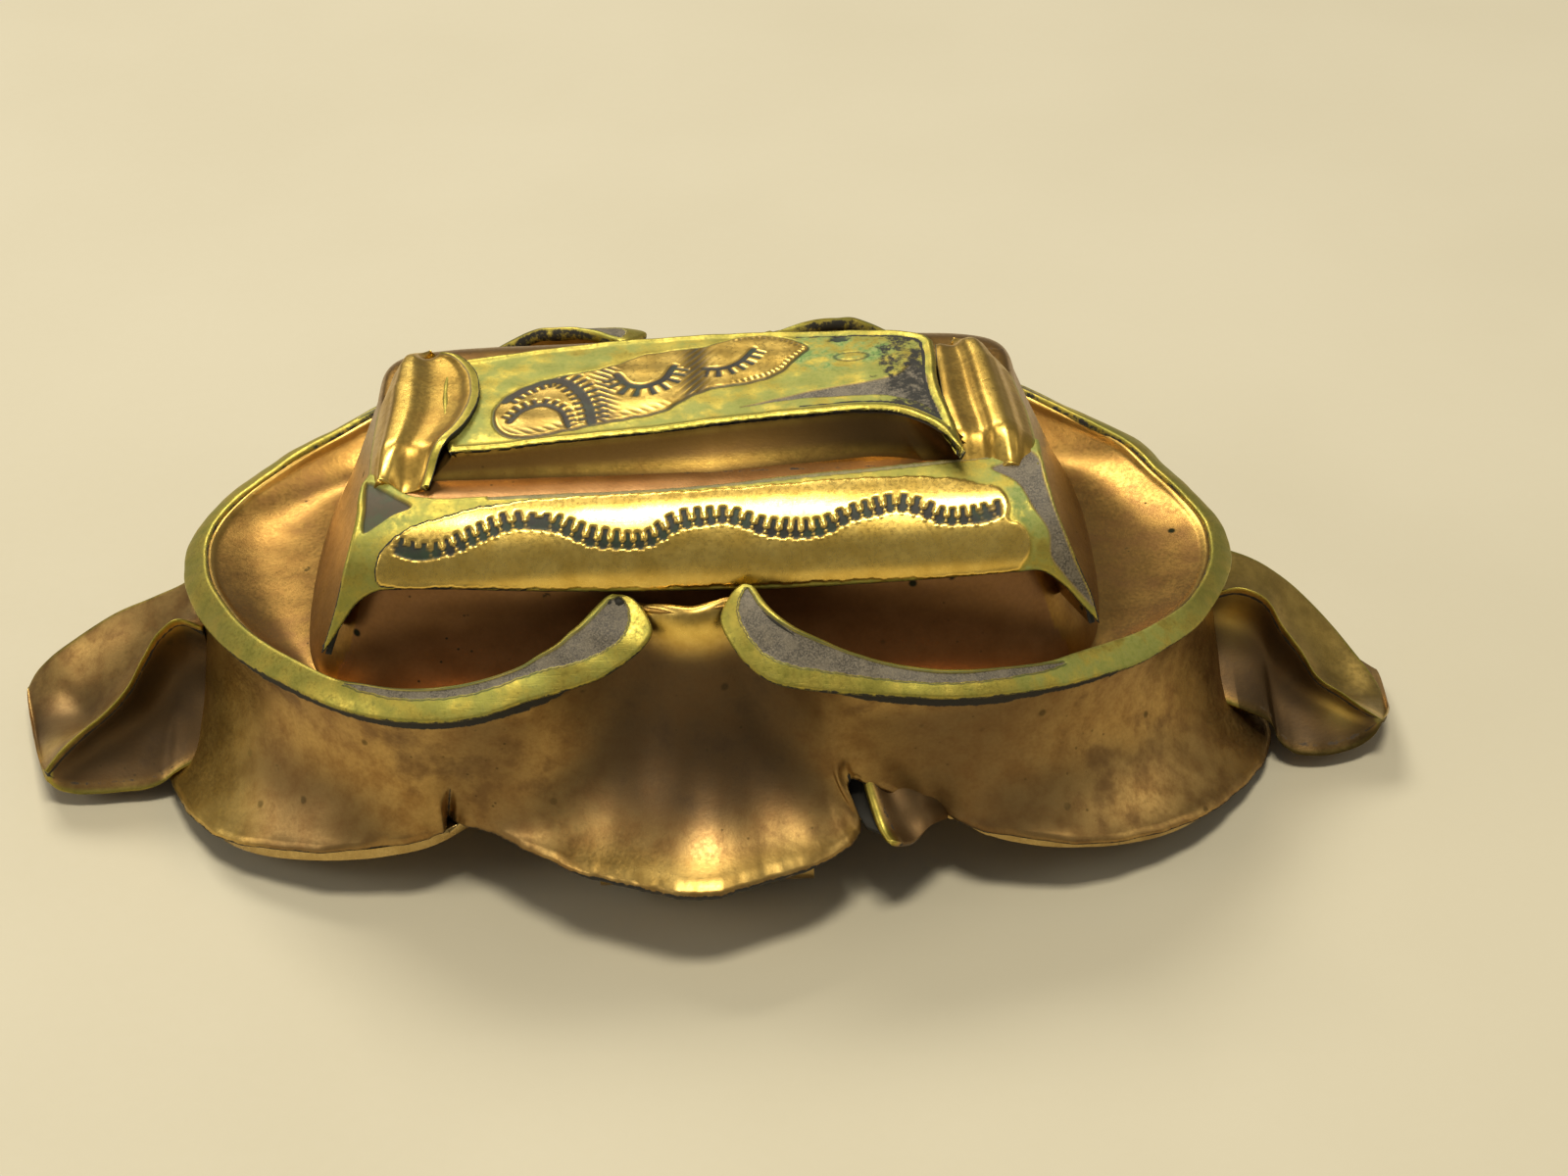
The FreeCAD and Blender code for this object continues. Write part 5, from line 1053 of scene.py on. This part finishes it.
# ---------------------------------------------------------------- straps over the ends of the crest
def strap(name, side, replaces):
    p = Piece(name)
    m = 200
    ynum = 150
    yv = np.linspace(-4.25, 3.55, ynum)
    if side < 0:
        inner_line = np.array([(2.35, -8.3), (2.2, -8.0), (1.66, -7.59), (0.9, -7.25), (0.33, -7.15), (-0.4, -7.08), (-1.08, -7.14), (-1.8, -7.32), (-2.43, -7.58), (-3.0, -7.95), (-3.44, -8.26), (-4.25, -8.62)])
        xin = np.interp(yv, inner_line[::-1, 0], inner_line[::-1, 1])
        xin = np.where(yv > 2.3, -8.35 - 0.3 * (yv - 2.3), xin)
        ker = np.ones(7) / 7
        xin = np.convolve(np.pad(xin, 3, mode="edge"), ker, mode="valid")
        xout = np.interp(yv, (-4.25, -3.4, -2.0, 0.5, 1.9, 2.8, 3.55), (-10.75, -10.72, -10.78, -10.75, -10.5, -10.0, -9.2))
        key_z = [(0.0, 13.6), (0.06, 14.1), (0.16, 14.62), (0.27, 14.93), (0.36, 14.96), (0.46, 14.86), (0.54, 14.79), (0.66, 14.78), (0.80, 14.88), (0.93, 15.05), (1.0, 15.02)]
    else:
        xin = np.interp(yv, (-4.25, -3.0, -1.0, 1.0, 2.7, 3.55), (8.95, 8.72, 8.42, 8.35, 8.38, 8.6))
        xout = np.interp(yv, (-4.25, -2.8, -0.8, 1.2, 2.3, 3.0, 3.55), (11.35, 11.52, 11.36, 11.05, 10.6, 10.1, 9.4))
        key_z = [(0.0, 13.6), (0.06, 14.05), (0.18, 14.35), (0.30, 14.75), (0.42, 14.92), (0.52, 14.90), (0.62, 14.74), (0.70, 14.64), (0.80, 14.66), (0.92, 14.72), (1.0, 14.68)]
    kz = np.array(key_z)
    c = np.linspace(0, 1, m)
    zc = spl(kz, 800)
    zc = np.interp(c, zc[:, 0], zc[:, 1])
    Xg = xout[:, None] * (1 - c) + xin[:, None] * c
    fall = 1.05 * sm(-2.9, -4.3, yv) ** 1.2 + 0.9 * sm(2.2, 3.6, yv)
    curve = 0.10 * (1 - ((yv + 0.3) / 4.0) ** 2)
    Zg = zc[None, :] + curve[:, None] - fall[:, None] * (0.55 + 0.45 * sm(0.2, 0.6, c))[None, :]
    Zg = np.maximum(Zg, 13.5)
    Yg = np.broadcast_to(yv[:, None], Xg.shape).copy()
    Zk = Zg.copy()
    for _ in range(10):
        Zk[1:-1] = (Zk[:-2] + 2 * Zk[1:-1] + Zk[2:]) / 4
        Zk[:, 1:-1] = (Zk[:, :-2] + 2 * Zk[:, 1:-1] + Zk[:, 2:]) / 4
    Zg = Zk + 0.012 * lump(Xg * 1.0, Yg * 0.8, Zg * 0, 11.0 + side)
    G = np.stack([Xg, Yg, Zg], -1)
    ye = np.minimum(yv + 4.25, 3.55 - yv)
    dIn = np.abs(Xg - xin[:, None])
    dOut = np.abs(Xg - xout[:, None])
    if side < 0:
        bord = sm(0.30, 0.24, dIn) * (yv[:, None] < 2.6) + sm(0.16, 0.10, dOut)
        line = sm(0.045, 0.02, np.abs(dIn - 0.30)) * (yv[:, None] < 2.5) * 0.7
        rib = np.exp(-(((c[None, :] - 0.33) / 0.09) ** 2)) * np.ones((ynum, 1))
        warm = 0.05 * sm(0.0, 0.2, c)[None, :] * sm(0.36, 0.26, c)[None, :] * np.ones((ynum, 1))
        dirt_and_shade = 0.85 * sm(0.07, 0.0, dIn) + 0.6 * sm(0.06, 0.0, dOut)
    else:
        bord = sm(0.24, 0.18, dOut)
        line = sm(0.05, 0.02, dIn) * 0.9
        rib = np.exp(-(((c[None, :] - 0.45) / 0.09) ** 2)) * np.ones((ynum, 1))
        warm = 0.10 * np.exp(-(((c[None, :] - 0.70) / 0.08) ** 2)) * np.ones((ynum, 1))
        dirt_and_shade = 0.5 * sm(0.08, 0.0, dOut) + 0.30 * np.exp(-(((c[None, :] - 0.70) / 0.02) ** 2)) * np.ones((ynum, 1))
    # painted highlight: the rib is made brighter gold; painted shade along the edges and in the right strap's valley
    masks = {"m_bord": np.clip(bord, 0, 1), "m_line": np.clip(line, 0, 1), "m_gold": np.clip(0.10 + 0.6 * rib, 0, 1) * (1 - np.clip(bord, 0, 1)), "m_warm": np.clip(warm, 0, 1), "m_dirt": np.clip(dirt_and_shade, 0, 1)}
    p.grid(G, masks, flip=bool(norms(G)[..., 2].mean() < 0))
    return p.make(GILT, "case", replaces, solidify=0.26, offset=-1.0)


strap("left_strap_v", -1, ["left_strap"])
strap("right_strap_v", 1, ["right_strap"])

# ---------------------------------------------------------------- fluted wings: a front flute, an upper flute and a rear one between drawn ridges
def wing(name, R2, R1, R0, R3, bulge, replaces, seed):
    nr = 150
    s = np.sign(R1[-1][0])
    r2, r1, r0, r3 = (spl(q, nr) for q in (R2, R1, R0, R3))
    segs = [(r2, r1, 64), (r1, r0, 84), (r0, r3, 44), (r3, r2, 40)]
    rows = []
    mk = {"m_bord": [], "m_dirt": [], "m_warm": [], "m_gold": [], "m_soft": []}
    for i in range(nr):
        r = i / (nr - 1.0)
        tip = float(sm(0.72, 1.0, r))
        row = []
        md = {q: [] for q in mk}
        for j, (qa, qb, m_) in enumerate(segs):
            u = np.linspace(0, 1, m_, endpoint=False)
            pa, pb = qa[i], qb[i]
            L = np.linalg.norm(pb - pa)
            base = pa[None, :] * (1 - u[:, None]) + pb[None, :] * u[:, None]
            bow = np.sin(np.pi * u) ** 1.15
            if j == 0:
                base[:, 1] += 0.26 * L * bow * (1 - 0.5 * tip)
                base[:, 0] -= s * 0.05 * L * bow
            elif j == 1:
                base[:, 2] -= 0.20 * L * bow * (1 - 0.72 * tip)
                base[:, 0] += s * (bulge * tip * np.sin(np.pi * u) - 0.04 * L * bow)
            elif j == 2:
                base[:, 1] -= 0.24 * L * bow * (1 - 0.5 * tip)
            else:
                base[:, 2] += 0.05 * bow
            row.append(base)
            da, db = u * L, (1 - u) * L
            z_ = np.zeros(m_)
            if j == 0:
                # front flute: painted shade over it, painted highlights at the ridge root and, on the right wing, on a
                # lit patch near the tip; dark lines beside the ridges
                md["m_bord"].append(np.clip(sm(0.30, 0.16, db) + sm(0.26, 0.12, da) + sm(0.955, 0.985, r), 0, 1))
                md["m_dirt"].append(np.clip(0.66 * np.exp(-(((db - 0.42) / 0.13) ** 2)) + 0.5 * np.exp(-(((da - 0.36) / 0.12) ** 2)) + 0.35 * float(sm(0.06, 0.0, r)), 0, 1))
                md["m_warm"].append(0.97 * sm(0.28, 0.6, db) * sm(0.2, 0.5, da))
                if s < 0:
                    md["m_soft"].append(0.62 * sm(0.3, 0.9, db) * (0.55 + 0.45 * sm(0.3, 1.0, da)) * (1 - 0.4 * tip))
                    md["m_gold"].append(0.5 * np.exp(-(((db - 0.55) / 0.35) ** 2)) * float(np.exp(-(((r - 0.12) / 0.07) ** 2))) + z_)
                else:
                    patch = np.exp(-(((r - 0.80) / 0.10) ** 2)) * np.exp(-(((u - 0.52) / 0.25) ** 2))
                    md["m_soft"].append(np.clip(0.40 * sm(0.3, 0.9, db) * (1 - patch) + 0.5 * sm(0.28, 0.10, u) * (r > 0.2), 0, 1))
                    md["m_gold"].append(np.clip(0.9 * np.exp(-(((r - 0.20) / 0.08) ** 2)) * np.exp(-(((u - 0.72) / 0.22) ** 2)) + 0.55 * patch, 0, 1))
            elif j == 1:
                # upper flute: painted highlight streak along the ridge; a darker brown patch on the left wing
                md["m_bord"].append(np.clip(sm(0.16, 0.05, da) + 0.8 * sm(0.20, 0.08, db) + (0.35 if s > 0 else 0.0), 0, 1))
                md["m_dirt"].append(0.42 * np.exp(-(((db - 0.26) / 0.08) ** 2)) * float(sm(0.3, 0.8, r)) + 0.3 * float(sm(0.05, 0.0, r)) + z_)
                md["m_warm"].append((0.62 * np.exp(-(((u - 0.55) / 0.26) ** 2)) * float(sm(0.5, 0.85, r)) + 0.3 * np.exp(-(((u - 0.85) / 0.2) ** 2)) * float(sm(0.75, 0.4, r))) * (1.0 if s < 0 else 0.3))
                md["m_soft"].append((0.5 * np.exp(-(((u - 0.6) / 0.25) ** 2)) * float(sm(0.5, 0.8, r))) * (1.0 if s < 0 else 0.2))
                md["m_gold"].append(0.35 * np.exp(-(((u - 0.2) / 0.12) ** 2)) + z_)
            else:
                md["m_bord"].append(z_)
                md["m_dirt"].append(z_ + (0.2 if j == 3 else 0.0))
                md["m_warm"].append(z_ + 0.4)
                md["m_soft"].append(z_)
                md["m_gold"].append(z_)
        P = np.vstack(row)
        for _ in range(4):
            P = (np.roll(P, 1, 0) + 2 * P + np.roll(P, -1, 0)) / 4
        rows.append(P)
        for q in mk:
            mk[q].append(np.concatenate(md[q]))
    G = np.array(rows)
    G[:, :, 2] += 0.03 * lump(G[..., 0] * 1.0, G[..., 1] * 1.0, G[..., 2], seed)
    last = G[-1]
    cen = last.mean(0)
    ends = []
    for q in (0.985, 0.95, 0.88, 0.76, 0.58, 0.36, 0.14, 0.02):
        E = cen + (last - cen) * np.array([q, q, q])
        E[:, 0] += s * 0.22 * math.sqrt(1 - q * q)
        ends.append(E)
        for m_ in mk:
            mk[m_].append(mk[m_][-1] * (0.9 if m_ == "m_bord" else 1.0))
    G = np.concatenate([G, np.array(ends)], 0)
    G[..., 2] = np.maximum(G[..., 2], 0.12)
    nn = norms(G, cv=True)
    c0 = G.mean(1, keepdims=True)
    p = Piece(name)
    p.grid(G, {q: np.clip(np.array(m_), 0, 1) for q, m_ in mk.items()}, cv=True, caps="01", flip=bool((nn[20:-20] * (G - c0)[20:-20]).sum() < 0))
    return p.make(FLANK, "case", replaces)


wing("left_wing_v",
     [(-17.9, -3.0, 1.7), (-18.87, -3.10, 1.20), (-19.39, -3.17, 0.80), (-19.96, -3.23, 0.60), (-20.77, -3.23, 0.55), (-21.67, -3.29, 0.55), (-22.57, -3.25, 0.60), (-23.12, -3.13, 0.75), (-23.44, -2.92, 0.95)],
     [(-17.6, -0.8, 6.1), (-18.44, -1.05, 6.62), (-18.97, -1.30, 6.33), (-19.66, -1.70, 5.41), (-20.17, -2.10, 4.57), (-21.03, -2.50, 3.74), (-22.00, -2.90, 3.09), (-22.78, -3.15, 2.44), (-23.34, -3.30, 1.79)],
     [(-17.7, 3.2, 5.6), (-18.51, 3.20, 5.39), (-18.86, 3.20, 5.15), (-19.97, 3.20, 4.62), (-21.73, 3.20, 3.81), (-23.13, 3.20, 2.84), (-24.21, 3.10, 2.05), (-24.77, 2.90, 1.50), (-25.01, 2.50, 1.18)],
     [(-18.6, 5.2, 1.2), (-19.9, 4.3, 0.75), (-21.2, 4.0, 0.6), (-22.6, 3.9, 0.55), (-23.8, 3.7, 0.6), (-24.7, 2.9, 0.65)],
     0.30, ["left_wing"], 13.0)
wing("right_wing_v",
     [(17.4, -2.2, 2.6), (19.0, -2.65, 2.1), (20.01, -2.87, 1.60), (20.29, -3.13, 1.00), (20.76, -3.39, 0.70), (21.62, -3.48, 0.60), (22.52, -3.31, 0.60), (23.25, -3.03, 0.70), (23.79, -2.64, 0.90), (24.07, -2.29, 1.15)],
     [(17.2, -0.8, 5.8), (19.02, -1.00, 6.40), (19.70, -1.20, 6.15), (20.35, -1.60, 5.18), (20.94, -1.95, 4.43), (21.59, -2.40, 3.45), (22.44, -2.70, 2.90), (23.13, -2.95, 2.41), (23.80, -3.10, 1.93)],
     [(18.40, 3.30, 5.40), (19.22, 3.30, 5.01), (19.69, 3.30, 4.82), (20.81, 3.30, 4.07), (21.94, 3.20, 2.99), (22.98, 2.54, 2.00), (23.78, 1.58, 1.30), (24.29, 0.41, 1.00), (24.41, -0.80, 0.95)],
     [(18.7, 5.3, 1.2), (20.0, 4.4, 0.75), (21.3, 4.0, 0.6), (22.6, 3.4, 0.55), (23.7, 2.7, 0.55), (24.5, 1.7, 0.6)],
     0.22, ["right_wing"], 17.0)

# ---------------------------------------------------------------- back plate, its edge tucked under the flank's lip
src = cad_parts["back_plate"].data
bp = src.copy()
bp.name = "back_plate_v"
bp.materials.clear()
co = np.zeros(len(bp.vertices) * 3, np.float32)
bp.vertices.foreach_get("co", co)
co = co.reshape(-1, 3).astype(float) / MM
th = np.arctan2(co[:, 1] / 12.7, co[:, 0] / 20.6)
rad = np.hypot(co[:, 0] / 20.6, co[:, 1] / 12.7)
bins = np.linspace(-np.pi, np.pi, 181)
ro = np.zeros(180)
bi = np.clip(np.digitize(th, bins) - 1, 0, 179)
for i in range(180):
    if (bi == i).any():
        ro[i] = rad[bi == i].max()
cen = (bins[:-1] + bins[1:]) / 2
good = ro > 0.5
ro = np.interp(cen, cen[good], ro[good])
tb = np.arctan2(B[:, 1] / 12.7, B[:, 0] / 20.6)
rb = np.hypot(B[:, 0] / 20.6, B[:, 1] / 12.7)
oi = np.argsort(tb)
r_lip = np.interp(th, tb[oi], rb[oi], period=2 * np.pi)
r_cad = np.interp(th, cen, ro, period=2 * np.pi)
sc = 1 + (np.minimum((r_lip - 0.028) / r_cad, 1.0) - 1) * sm(0.45, 0.98, rad / r_cad)
co[:, 0] *= sc
co[:, 1] *= sc
co[:, 2] -= 0.10 * sm(0.6, 1.0, rad / r_cad) * (co[:, 2] > 0.6)
bp.vertices.foreach_set("co", (co * MM).astype(np.float32).reshape(-1))
bp.update()
bpo = bpy.data.objects.new("back_plate_v", bp)
bpy.context.scene.collection.objects.link(bpo)
bp.materials.append(BACK)
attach(bpo, "case")
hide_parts("back_plate")

# ---------------------------------------------------------------- carried-over CAD pieces
for nm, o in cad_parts.items():
    if o.hide_render:
        continue
    s = None
    if nm in ("photo_card",):
        s = card.m
    elif nm in ("photo_glass",):
        s = glass.m
    elif nm in ("door_hinge_pin", "pin_hinge_base", "pin_hinge_rivet", "pin_knuckle", "pin_stem", "catch_base", "c_catch"):
        s = STEEL
    elif nm in ("back_plate", "locket_well", "locket_bezel", "photo_rim", "locket_door", "door_knuckle", "door_thumb_lip", "door_fixed_knuckles"):
        s = BACK
    else:
        s = FIELD
    if not o.material_slots:
        o.data.materials.append(s)
    for ms in o.material_slots:
        ms.material = s
